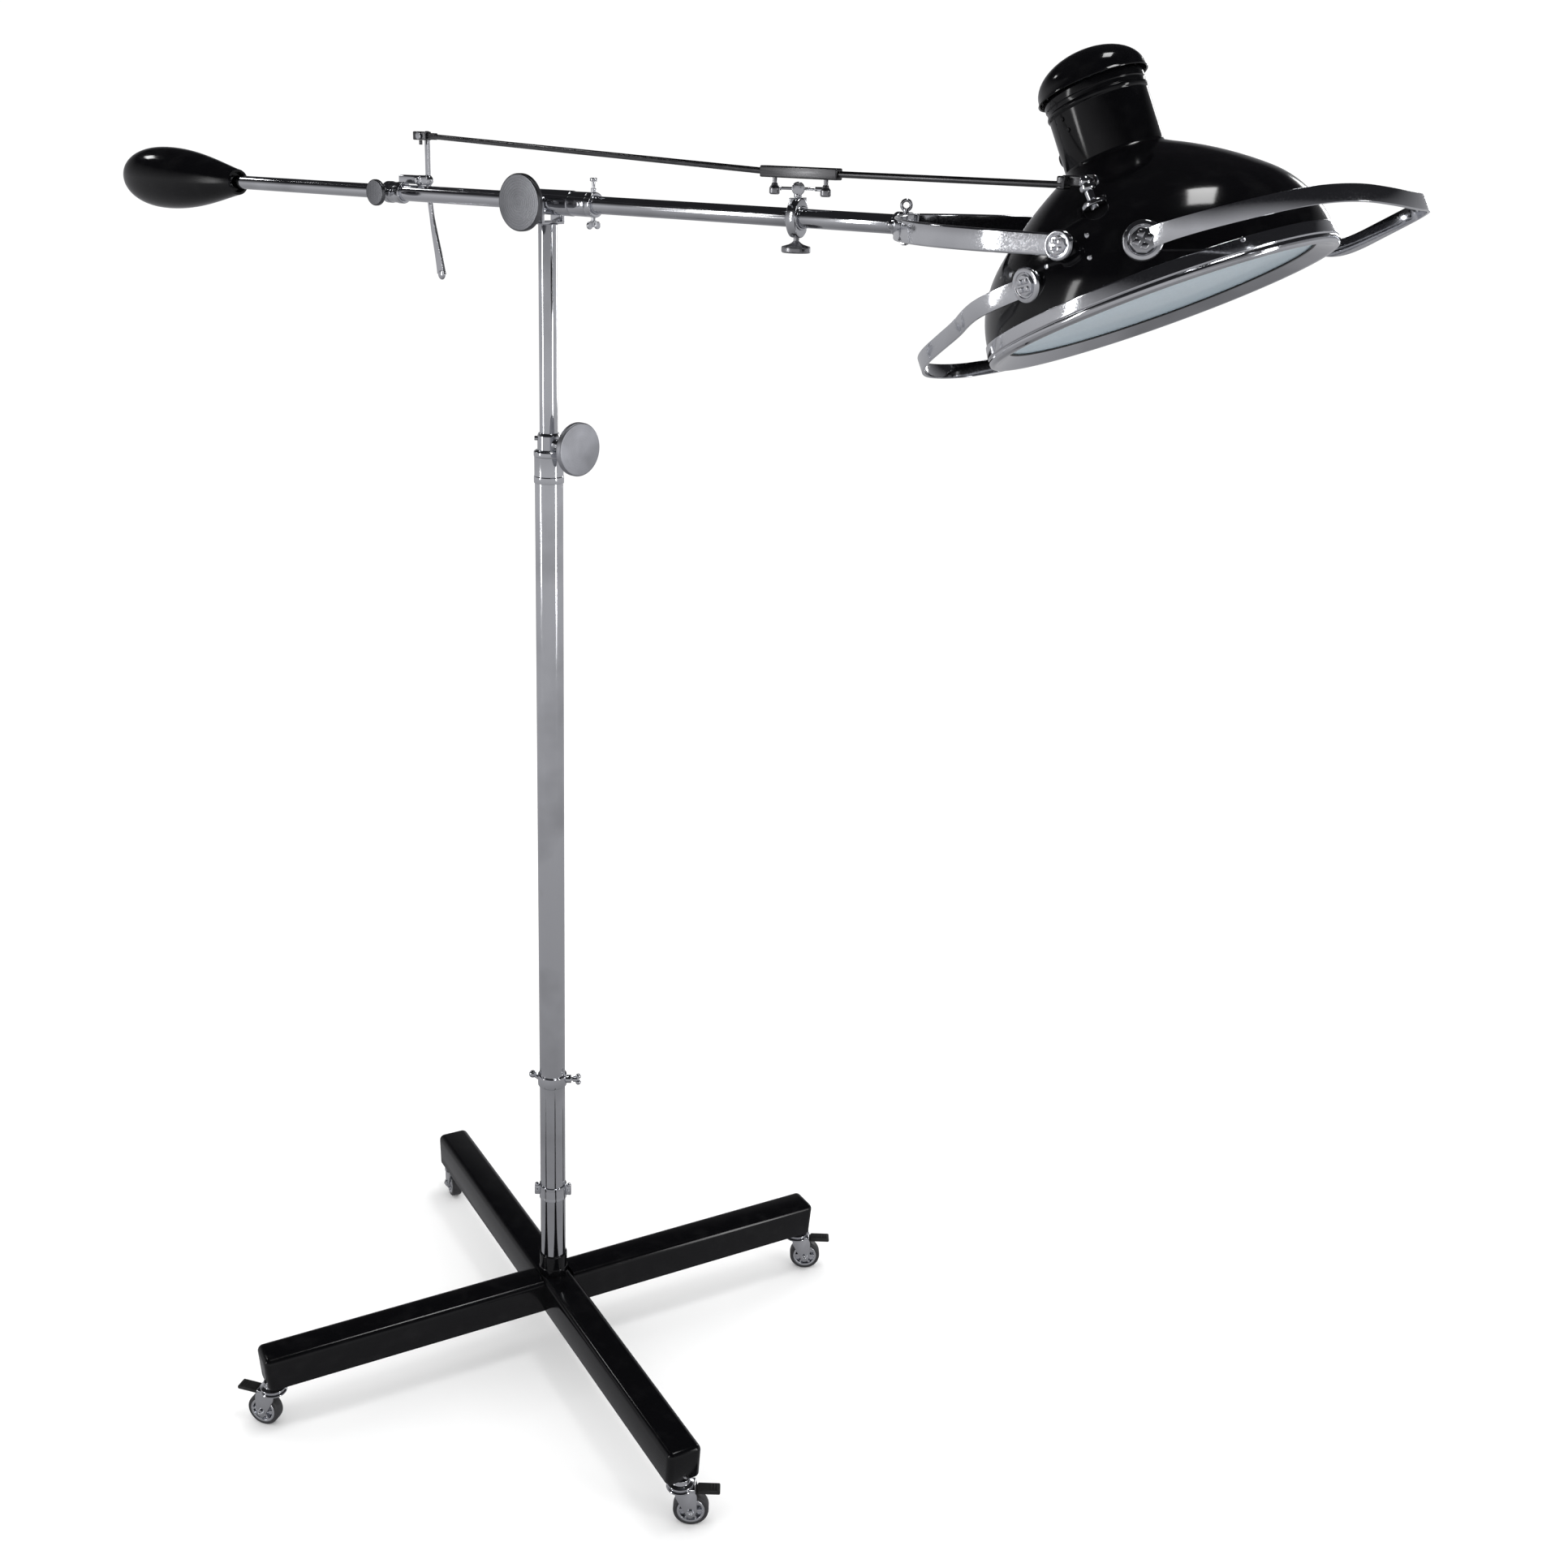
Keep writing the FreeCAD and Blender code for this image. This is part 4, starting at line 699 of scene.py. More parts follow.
def fork_mesh(trail, axle_height, crown_foot, crown_top):
    """Race plate, hooded cheeks and the axle with its nuts."""
    inside = 11.5 * MM
    thick = 3 * MM
    parts = [turned([(5.1 * MM, crown_foot), (20 * MM, crown_foot), (21 * MM, crown_foot + 2 * MM),
                     (18 * MM, crown_top),
                     (5.1 * MM, crown_top)], radius=0.8 * MM, steps=48)]
    parts.append(block((28 * MM, 2 * (inside + thick), crown_top - crown_foot),
                       (8 * MM, 0, (crown_top + crown_foot) / 2),
                       1.5 * MM))
    hood = [(-8, 40), (22, 40), (25, 30), (24.5, 3), (21, -4), (16, -7), (11, -5), (8, 1), (-6, 28)]
    outline = softened([(x * MM, (y - 3) * MM + axle_height) for x, y in hood], 4 * MM)
    outline = [(x, min(z, crown_top)) for x, z in outline]
    for side in (-1, 1):
        outer_face = inside + thick if side > 0 else -inside
        turn = Matrix.Translation((0, outer_face, 0)) @ Matrix.Rotation(math.pi / 2, 4, "X")
        parts.append(plate(outline, thick, 0.8 * MM, turn))
        edge = side * (inside + thick)
        parts.append(bar(6 * MM, (trail, edge, axle_height), (trail, edge + side * 2.5 * MM, axle_height),
                         0.8 * MM, 24))
        parts.append(ball(3 * MM, (trail, edge + side * 2.0 * MM, axle_height), 16))
    parts.append(bar(3 * MM, (trail, -inside, axle_height), (trail, inside, axle_height), steps=24))
    return joined(*parts)


def brake_mesh(hinge, length):
    """Black foot tab with a raised toe grip."""
    barrel = axis_bar(3.5, hinge, ACROSS, -11.2, 11.2, 0.6, 24)
    web = block((12 * MM, 18 * MM, 3 * MM), hinge + Vector((6, 0, -0.5)) * MM, MM)
    start = hinge.x + 9 * MM
    end = hinge.x + length
    toe = block((end - start, 20 * MM, 6 * MM), ((start + end) / 2, 0, hinge.z + MM), 2.2 * MM)
    grips = [block((1.6 * MM, 15 * MM, 1.6 * MM), (end - (5 + 4 * k) * MM, 0, hinge.z + 4 * MM), 0.5 * MM)
             for k in range(3)]
    return joined(barrel, web, toe, *grips)


class LAMP_OT_casters(Operator):
    """Build the four braked casters"""
    bl_idname = "lamp.casters"
    bl_label = "Casters"

    def execute(self, context):
        arm_foot = low("base_beam").z
        stems = []
        for number in range(1, 5):
            place = caster_place(number)
            name = str(number)
            tread, disc = wheel_mesh(CASTER_TRAIL)
            piece("wheel_tread_" + name, placed(tread, place), "tread", "wheel_" + name, "wheel_rubber",
                  "caster_wheel_" + name)
            piece("wheel_disc_" + name, placed(disc, place), "chrome", "wheel_" + name, "wheel_rubber")
            fork = fork_mesh(CASTER_TRAIL, sizes().wheel_radius, arm_foot - 19 * MM, arm_foot - 14 * MM)
            piece("caster_housing_" + name, placed(fork, place), "chrome", "fork_" + name, "caster_metal",
                  "caster_fork_" + name)
            hinge = Vector((CASTER_TRAIL, 0, pivot("caster_%s_brake" % name).z))
            piece("brake_tab_" + name, placed(brake_mesh(hinge, 42 * MM), place), "black_plastic",
                  "brake_" + name,
                  "brake_black", "caster_brake_" + name)
            centre = Vector((place.translation.x, place.translation.y, 0))
            race = [(0, arm_foot - 13.7 * MM), (19 * MM, arm_foot - 13.7 * MM), (20 * MM, arm_foot - 10 * MM),
                    (14 * MM, arm_foot - 7 * MM), (14 * MM, arm_foot), (0, arm_foot)]
            stems.append(turned(race, centre, UP, 1 * MM, False, 48))
            stems.append(bar(5 * MM, centre + UP * (arm_foot - 22 * MM), centre + UP * (arm_foot - 13 * MM),
                             steps=24))
            stems.append(bar(8 * MM, centre + UP * (arm_foot - 22 * MM), centre + UP * (arm_foot - 19.4 * MM),
                             0.5 * MM, 6))
        piece("caster_races", joined(*stems), "chrome", "base", "caster_metal", "caster_stems")
        return {"FINISHED"}


# ---------------------------------------------------------------- mast
def disc_knob(centre, axis, face, radius, thickness, stem, root):
    """Large faced disc with a hub and a stem that starts at a distance from the centre."""
    back = face - thickness
    hub = [(0, root), (stem, root), (stem, back - 9 * MM), (stem * 1.5, back - 8 * MM),
           (stem * 2.2, back + 0.5 * MM),
           (0, back + 0.5 * MM)]
    disc = [(0, back), (radius * 0.93, back), (radius, back + 2.2 * MM), (radius, face - 1.4 * MM),
            (radius - 1.4 * MM, face), (0, face)]
    return joined(turned(hub, centre, axis, 0.7 * MM, False, 48), turned(disc, centre, axis, 0.6 * MM, False))


class LAMP_OT_mast(Operator):
    """Build the mast tubes, their collar and the lock knob"""
    bl_idname = "lamp.mast"
    bl_label = "Mast"

    def execute(self, context):
        outer = sizes().mast_radius
        inner = sizes().inner_radius
        foot, top = low("mast_outer_tube").z, high("mast_outer_tube").z
        piece("mast_lower_tube", pipe(outer, outer - 2 * MM, (0, 0, foot), (0, 0, top), 0.4 * MM),
              "mast_chrome", "base",
              "tube_chrome", "mast_outer_tube")
        foot, top = low("mast_inner_tube").z, high("mast_inner_tube").z
        guide = pipe(outer - 2.1 * MM, inner, (0, 0, foot), (0, 0, foot + 40 * MM), 0.6 * MM)
        slider = pipe(inner, inner - 2 * MM, (0, 0, foot), (0, 0, top), 0.3 * MM)
        piece("mast_upper_tube", joined(slider, guide), "mast_chrome", "mast_slider", "tube_chrome",
              "mast_inner_tube")
        self.collar(inner, outer)
        axis = Vector(joint("mast_lock_turn")["axis"])
        centre = pivot("mast_lock_turn")
        knob = disc_knob(centre, axis, 66 * MM, sizes().knob_radius, KNOB_THICKNESS, 4 * MM, inner + 0.3 * MM)
        piece("mast_knob", knob, "mast_knob", "mast_lock", "knob_steel", "mast_lock_knob")
        return {"FINISHED"}

    def collar(self, inner, outer):
        foot, top = low("mast_collar").z, high("mast_collar").z
        step = 1487 * MM
        bulge = outer + 1.25 * MM
        profile = [(outer + 0.05 * MM, foot), (bulge, foot), (bulge, foot + 9 * MM),
                   (bulge - 0.7 * MM, foot + 10 * MM),
                   (bulge - 0.7 * MM, step - 9 * MM), (bulge, step - 8 * MM), (bulge, step - 2 * MM),
                   (bulge - 2.5 * MM, step), (16 * MM, step + 0.5 * MM), (16 * MM, top - 4 * MM),
                   (14.4 * MM, top),
                   (inner + 0.1 * MM, top), (inner + 0.1 * MM, step - 3 * MM),
                   (outer + 0.05 * MM, step - 3 * MM)]
        axis = Vector(joint("mast_lock_turn")["axis"])
        centre = pivot("mast_lock_turn")
        boss = pipe(8 * MM, 4.1 * MM, centre + axis * 14 * MM, centre + axis * 25 * MM, 0.8 * MM, 48)
        side = yaw(EAR_YAW)
        eye_at = Vector((0, 0, 1503 * MM))
        eye = axis_bar(3.2, eye_at, side, -15, -20, 0.6, 24)
        piece("mast_reducer", joined(turned(profile, radius=0.6 * MM), boss, eye), "chrome", "base",
              "fitting_chrome",
              "mast_collar")


class LAMP_OT_clips(Operator):
    """Build the clip ring and the cord hook on the mast"""
    bl_idname = "lamp.clips"
    bl_label = "Clips"

    def execute(self, context):
        outer = sizes().mast_radius
        side = yaw(EAR_YAW)
        middle = (low("cable_clip_ring").z + high("cable_clip_ring").z) / 2
        half = 12 * MM
        band = [(outer + 0.05 * MM, middle - half), (outer + 1.8 * MM, middle - half),
                (outer + 1.2 * MM, middle - 7 * MM),
                (outer + 1.2 * MM, middle + 7 * MM), (outer + 1.8 * MM, middle + half),
                (outer + 0.05 * MM, middle + half)]
        parts = [turned(band, radius=0.5 * MM)]
        for sign in (-1, 1):
            at = side * sign * (outer + 5 * MM) + UP * middle
            parts.append(block((9 * MM, 6 * MM, 17 * MM), at, 1.6 * MM, EAR_YAW))
            across = side.cross(UP)
            parts.append(axis_bar(2.4, at, across, -5, 5, 0.8, 20))
            parts.append(ball(3.6 * MM, at + UP * 9 * MM + side * sign * MM, 20))
        piece("mast_clip_ring", joined(*parts), "chrome", "base", "small_steel", "cable_clip_ring")

        centre = pivot("hook_screw_turn")
        band = [(outer + 0.05 * MM, -9 * MM), (outer + 2.8 * MM, -9 * MM), (outer + 2.8 * MM, 9 * MM),
                (outer + 0.05 * MM, 9 * MM)]
        clamp = turned(band, centre, radius=1.2 * MM)
        boss = pipe(6.5 * MM, 3.1 * MM, centre + side * 21 * MM, centre + side * 30 * MM, 0.8 * MM, 32)
        horn = bar(3 * MM, centre - side * 21 * MM, centre - side * 30 * MM + UP * 6 * MM, 0.5 * MM, 24)
        knob = ball(6 * MM, centre - side * 31 * MM + UP * 7 * MM)
        piece("cord_hook", joined(clamp, boss, horn, knob), "chrome", "base", "small_steel",
              "cord_hook_clamp")
        screw = axis_bar(3, centre, side, 20.3, 36, 0.3, 24)
        hub = axis_bar(4.6, centre, side, 33, 40, 0.8, 24)
        lobes = [ball(4.4 * MM, centre + side * 41 * MM + UP * sign * 5.2 * MM, 20) for sign in (-1, 1)]
        piece("cord_hook_screw", joined(screw, hub, *lobes), "chrome", "hook_screw", "small_steel",
              "cord_hook_wing")
        return {"FINISHED"}


# ---------------------------------------------------------------- tee
class LAMP_OT_tee(Operator):
    """Build the fork on the mast, the boom's pivot sleeve and its knob"""
    bl_idname = "lamp.tee"
    bl_label = "Tee"

    def execute(self, context):
        ear_in, ear_out = 17.2, 22.2
        ear = [(-11, -25), (11, -25), (11, 0)]
        ear += [(11 * math.cos(math.pi * k / 12), 11 * math.sin(math.pi * k / 12)) for k in range(1, 12)]
        ear += [(-11, 0)]
        outline = [(x * MM, z * MM) for x, z in ear]
        stand = Matrix.Rotation(math.pi / 2, 4, "X")
        parts = []
        for face in (ear_out, -ear_in):
            parts.append(plate(outline, (ear_out - ear_in) * MM, 0.8 * MM,
                               Matrix.Translation(boom(0, face)) @ stand))
        parts.append(block((22 * MM, 2 * ear_out * MM, 4.2 * MM), boom(0, 0, -26.4), 1.2 * MM))
        parts.append(turned([(0, -29.5 * MM), (12.7 * MM, -29.5 * MM), (15.5 * MM, -28.4 * MM),
                             (11 * MM, -26 * MM),
                             (0, -26 * MM)], BOOM, UP, 0.6 * MM, False, 48))
        parts.append(bar(10.6 * MM, boom(0, 0, -84), boom(0, 0, -28)))
        piece("mast_fork", joined(*parts), "chrome", "head_fork", "fitting_chrome", "mast_head_fork")

        sleeve = pipe(16.5 * MM, 11.33 * MM, boom(-16), boom(48), 1.4 * MM)
        ring = pipe(15.8 * MM, 11.33 * MM, boom(48.4), boom(77.5), 1.0 * MM)
        seat = bar(10 * MM, boom(0, -17), boom(0, -10), 0.6 * MM)
        far_seat = bar(10 * MM, boom(0, 10), boom(0, 17), 0.6 * MM)
        spindle = bar(4 * MM, boom(0, -33), boom(0, -15), 0.4 * MM)
        far_spindle = bar(4 * MM, boom(0, 15), boom(0, 26), 0.4 * MM)
        nut = bar(8 * MM, boom(0, 22.5), boom(0, 27.5), 0.8 * MM, 6)
        oil = bar(3.5 * MM, boom(68, -15), boom(68, -17.4), 0.5 * MM, 20)
        piece("boom_sleeve", joined(sleeve, ring, seat, far_seat, spindle, far_spindle, nut, oil),
              "boom_chrome", "sleeve",
              "fitting_chrome", "pivot_sleeve")
        knob = disc_knob(BOOM, -ACROSS, 56 * MM, sizes().knob_radius, KNOB_THICKNESS, 7 * MM, 22.6 * MM)
        piece("tilt_knob", knob, "tilt_knob", "tilt_lock", "knob_steel", "tilt_lock_knob")
        return {"FINISHED"}


# ---------------------------------------------------------------- boom
def wing_screw(head, axis, side, root, length):
    """Round-winged screw; its shank starts at a distance along the axis from the head's centre line."""
    start = head + axis * root
    end = head + axis * length
    shank = bar(3 * MM, start, end - axis * 2 * MM, 0.3 * MM, 24)
    hub = axis_bar(4.2, end, axis, -6, 2, 0.8, 24)
    wings = []
    for sign in (-1, 1):
        centre = end + side * sign * 7.5 * MM
        normal = axis.cross(side)
        wings.append(axis_bar(5, centre, normal, -1.6, 1.6, 0.8, 28))
    return joined(shank, hub, *wings)


class LAMP_OT_boom(Operator):
    """Build the boom tube with its collars, clamp and screws"""
    bl_idname = "lamp.boom"
    bl_label = "Boom"

    def execute(self, context):
        radius = sizes().boom_radius
        piece("boom_main_tube", pipe(radius, radius - 1.25 * MM, boom(BOOM_REAR), boom(BOOM_FRONT), 0.3 * MM),
              "boom_chrome", "boom",
              "tube_chrome", "boom_tube")
        self.rod_collar(radius)
        self.stop_collar(radius)
        self.clamp(radius)
        return {"FINISHED"}

    def rod_collar(self, radius):
        knob_at = pivot("rod_lock_turn")
        body = turned([(radius + 0.02 * MM, 4 * MM), (13 * MM, 0), (15 * MM, 2 * MM), (15 * MM, 11 * MM),
                       (14.2 * MM, 12 * MM), (14.2 * MM, 25 * MM), (15 * MM, 26 * MM), (15 * MM, 34 * MM),
                       (14 * MM, 36 * MM), (radius + 0.02 * MM, 36 * MM)], boom(-314), ALONG, 0.5 * MM)
        lip = pipe(12.5 * MM, 10 * MM, boom(-313), boom(-309), 0.4 * MM)
        boss = axis_bar(6, knob_at, ACROSS, -12, -20, 0.6, 32)
        bracket = block((44 * MM, 16 * MM, 12 * MM), boom(-265, 4, 18.6), 2.5 * MM)
        eye = pivot("lever_swing")
        ear = bar(7 * MM, eye, eye + ACROSS * 16.6 * MM, 0.8 * MM, 32)
        pin = bar(2.5 * MM, eye, eye + ACROSS * 24 * MM, 0.3 * MM, 24)
        head = axis_bar(5, eye, ACROSS, 22.4, 25.3, 0.8, 24)
        near = axis_bar(4.5, eye, ACROSS, -2, -7, 0.8, 24)
        piece("rod_clamp_collar", joined(body, lip, boss, bracket, ear, pin, head, near), "chrome", "boom",
              "fitting_chrome", "rod_collar")
        thumb = [(0, 10.3), (3, 10.3), (3, 30), (8, 33), (17, 35), (18, 36.5), (18, 40.5), (16.5, 42),
                 (0, 42)]
        knob = turned([(r * MM, h * MM) for r, h in thumb], knob_at, -ACROSS, 0.6 * MM, False, 64)
        piece("rod_thumb_knob", knob, "tilt_knob", "rod_lock", "knob_steel", "rod_lock_knob")

    def stop_collar(self, radius):
        middle = pivot("stop_screw_turn")
        ring = turned([(radius + 0.02 * MM, -5 * MM), (16 * MM, -5 * MM), (16 * MM, 5 * MM),
                       (radius + 0.02 * MM, 5 * MM)],
                      middle, ALONG, 1.2 * MM)
        post = axis_bar(2.2, middle, UP, 15, 31, 0.2, 20)
        head = axis_bar(5, middle, UP, 29.5, 34, 1.2, 28)
        waist = axis_bar(3.6, middle, UP, 15.5, 21, 0.8, 24)
        piece("boom_stop_ring", joined(ring, post, head, waist), "chrome", "boom", "fitting_chrome",
              "boom_stop_collar")
        wing = wing_screw(middle, -UP, ACROSS, 11.4 * MM, 26 * MM)
        piece("stop_ring_wing", wing, "chrome", "stop_screw", "small_steel", "stop_collar_wing")

    def clamp(self, radius):
        middle = pivot("clamp_knob_turn")
        steps = [math.tau * k / 48 for k in range(48)]
        oval = [(16 * math.cos(q) * MM, 23.5 * math.sin(q) * MM) for q in steps]
        turn = Matrix.Translation(middle - ALONG * 7 * MM) @ Matrix(((0, 0, 1), (1, 0, 0),
                                                                     (0, 1, 0))).to_4x4()
        body = plate(oval, 14 * MM, 2.2 * MM, turn, 3)
        collar = pipe(14.5 * MM, radius + 0.02 * MM, middle - ALONG * 9 * MM, middle + ALONG * 9 * MM,
                      1.5 * MM)
        lug = block((2.2 * MM, 34 * MM, 9 * MM), middle + UP * 19 * MM, 0.6 * MM)
        piece("arm_clamp_body", joined(body, collar, lug), "chrome", "boom", "fitting_chrome", "arm_clamp")
        foot = [(0, 10.3), (3.5, 10.3), (3.5, 27), (5.5, 29), (9, 31), (17.5, 33.5), (18, 35), (18, 39.5),
                (16.5, 41),
                (0, 41)]
        knob = turned([(r * MM, h * MM) for r, h in foot], middle, -UP, 0.6 * MM, False, 64)
        piece("clamp_thumb_knob", knob, "satin_steel", "clamp_knob", "knob_steel", "arm_clamp_knob")
        side = yaw(EAR_YAW)
        across = side.cross(UP)
        stem = axis_bar(3.5, middle, UP, 11.5, 28, 0.3, 24)
        neck = axis_bar(5, middle, UP, 23.8, 28, 0.8, 28)
        centre = middle + UP * 34 * MM
        eye = axis_bar(8, centre, across, -4, 4, 1.4, 36)
        rod = axis_bar(1.8, centre, side, -32, 32, 0.3, 20)
        tips = [bar(2.6 * MM, centre + side * 20 * sign * MM, centre + side * 34 * sign * MM, 0.8 * MM, 20)
                for sign in (-1, 1)]
        piece("clamp_eye_screw", joined(stem, neck, eye, rod, *tips), "chrome", "clamp_eye", "small_steel",
              "arm_clamp_eye")


def weight_profile(length):
    """Teardrop outline as (radius, distance from the blunt end), in metres."""
    big = sizes().weight_radius
    neck = 19 * MM
    waist = length * 0.36
    blunt = 0.89
    points = [(big * math.sin(q) ** blunt, waist - waist * math.cos(q) ** blunt)
              for q in (math.pi / 2 * k / 16 for k in range(17))]
    for step in range(1, 25):
        part = step / 24
        swell = max(0.0, math.cos(math.pi / 2 * part)) ** 1.1
        points.append((neck + (big - neck) * swell, waist + (length - waist) * part))
    return points


class LAMP_OT_counterweight(Operator):
    """Build the counterweight and its rod"""
    bl_idname = "lamp.counterweight"
    bl_label = "Counterweight"

    def execute(self, context):
        rear, front = low("counterweight_shell").x, high("counterweight_shell").x
        start = Vector((rear, BOOM.y, BOOM.z))
        outside = weight_profile(front - rear)
        inside = [(15.5 * MM, outside[-1][1] + 0.2 * MM), (13.5 * MM, outside[-1][1] - 9 * MM),
                  (0, outside[-1][1] - 10 * MM)]
        piece("counterweight_body", turned(outside + inside, start, ALONG, closed=False), "enamel",
              "counterweight",
              "weight_black", "counterweight_shell")
        piece("counterweight_shaft", bar(9.92 * MM, boom(-905), boom(-130), 0.4 * MM, 64), "boom_chrome",
              "counterweight",
              "tube_chrome", "counterweight_rod")
        frame["nodes"]["counterweight_ballast"].data.materials.clear()
        frame["nodes"]["counterweight_ballast"].data.materials.append(material("iron"))
        return {"FINISHED"}


# ---------------------------------------------------------------- extension and yoke
def yoke_path(sign):
    """Middle line of a prong, from its root in the collar to just past the shade's pivot."""
    root, mouth = 576.0, 11.5
    bend, side = 795.0, 182.0
    width = side - mouth
    radius = ((bend - root) ** 2 + width ** 2) / (2 * width)
    sweep = math.asin((bend - root) / radius)
    points = []
    for step in range(25):
        angle = sweep * (1 - step / 24)
        points.append(boom(bend - radius * math.sin(angle),
                           sign * (side - radius + radius * math.cos(angle))))
    for step in range(1, 9):
        points.append(boom(bend + (858.0 - bend) * step / 8, sign * side))
    return points


class LAMP_OT_extension(Operator):
    """Build the arm extension with the yoke that carries the shade"""
    bl_idname = "lamp.extension"
    bl_label = "Extension and yoke"

    def execute(self, context):
        radius = sizes().boom_radius
        tube = pipe(radius, 8 * MM, boom(BOOM_FRONT + 0.3), boom(ARM_END), 0.3 * MM)
        spigot = bar(9.9 * MM, boom(290), boom(460), 0.4 * MM)
        piece("extension_arm", joined(tube, spigot), "boom_chrome", "extension", "tube_chrome",
              "extension_tube")
        outline = in_metres(((0, 0.5), (12.8, 0), (14.5, 2), (14.5, 7), (13.6, 8), (13.6, 13), (14.5, 14),
                             (14.5, 20),
                             (0, 20)))
        body = turned(outline, boom(555), ALONG, 0.5 * MM, False)
        nose = block((5 * MM, 32 * MM, 25 * MM), boom(573), 1.5 * MM)
        side_nut = ball(6 * MM, boom(557, -13), 24)
        piece("yoke_root", joined(body, nose, side_nut), "chrome", "extension", "fitting_chrome",
              "yoke_collar")
        for name, sign in (("near", -1), ("far", 1)):
            path = yoke_path(sign)
            widths = [(26 - 4 * k / (len(path) - 1)) * MM for k in range(len(path))]
            arm = strap(path, UP, widths, sizes().strip_thickness, 2.2 * MM)
            seat = boom(SHADE_SIDE, sign * 179.6)
            boss = turned([(5.2 * MM, 0), (15 * MM, 0), (15 * MM, 4.9 * MM), (5.2 * MM, 4.9 * MM)], seat,
                          ACROSS * sign,
                          1.0 * MM, steps=64)
            piece("yoke_prong_%s_strip" % name, joined(arm, boss), "chrome", "extension", "yoke_chrome",
                  "yoke_prong_" + name)
        self.eye_screw()
        return {"FINISHED"}

    def eye_screw(self):
        middle = pivot("eye_screw_turn")
        side = yaw(EAR_YAW)
        across = side.cross(UP)
        ring = turned([(5.5 * MM + 2 * MM * math.cos(math.tau * k / 12), 2 * MM * math.sin(math.tau * k / 12))
                       for k in range(12)], middle + UP * 22 * MM, across, steps=40)
        shank = axis_bar(3, middle, UP, -23, 16, 0.3, 24)
        neck = axis_bar(3.8, middle, UP, 14.8, 18, 0.6, 24)
        nut = axis_bar(5.5, middle, UP, -22, -16, 0.6, 6)
        piece("yoke_eye_bolt", joined(ring, shank, neck, nut), "chrome", "eye_screw", "small_steel",
              "yoke_eye_screw")


# ---------------------------------------------------------------- shade
def dome_outline(offset):
    """Meridian of the dome as (radius, height) in millimetres: side arc, then crown arc, moved inwards."""
    rim, foot = 188.0, -66.0
    shoulder = Vector((150.0, 21.0))
    neck = Vector((53.5, 88.0))
    drop = shoulder.y - foot
    side = ((rim - shoulder.x) ** 2 + drop ** 2) / (2 * (rim - shoulder.x))
    low_centre = Vector((rim - side, foot))
    normal = (shoulder - low_centre).normalized()
    across = shoulder - neck
    crown = across.dot(across) / (2 * across.dot(normal))
    high_centre = shoulder - normal * crown
    points = []
    first = math.atan2(normal.y, normal.x)
    for step in range(15):
        angle = first * step / 14
        points.append(low_centre + Vector((math.cos(angle), math.sin(angle))) * (side - offset))
    top = neck - high_centre
    last = math.atan2(top.y, top.x)
    for step in range(1, 11):
        angle = first + (last - first) * step / 10
        points.append(high_centre + Vector((math.cos(angle), math.sin(angle))) * (crown - offset))
    return [(p.x, p.y) for p in points]


def in_metres(points):
    return [(x * MM, y * MM) for x, y in points]


def smooth_path(points, rounds=3):
    """Corner-cut path that keeps its two ends."""
    path = [Vector(p) for p in points]
    for _ in range(rounds):
        cut = [path[0]]
        for first, second in zip(path, path[1:]):
            cut += [first.lerp(second, 0.25), first.lerp(second, 0.75)]
        path = cut + [path[-1]]
    return path


def outward(angle, side):
    """Unit vector square to the shade's axis, at an angle from the way the shade faces out."""
    return SHADE_OUT * math.cos(math.radians(angle)) + ACROSS * side * math.sin(math.radians(angle))


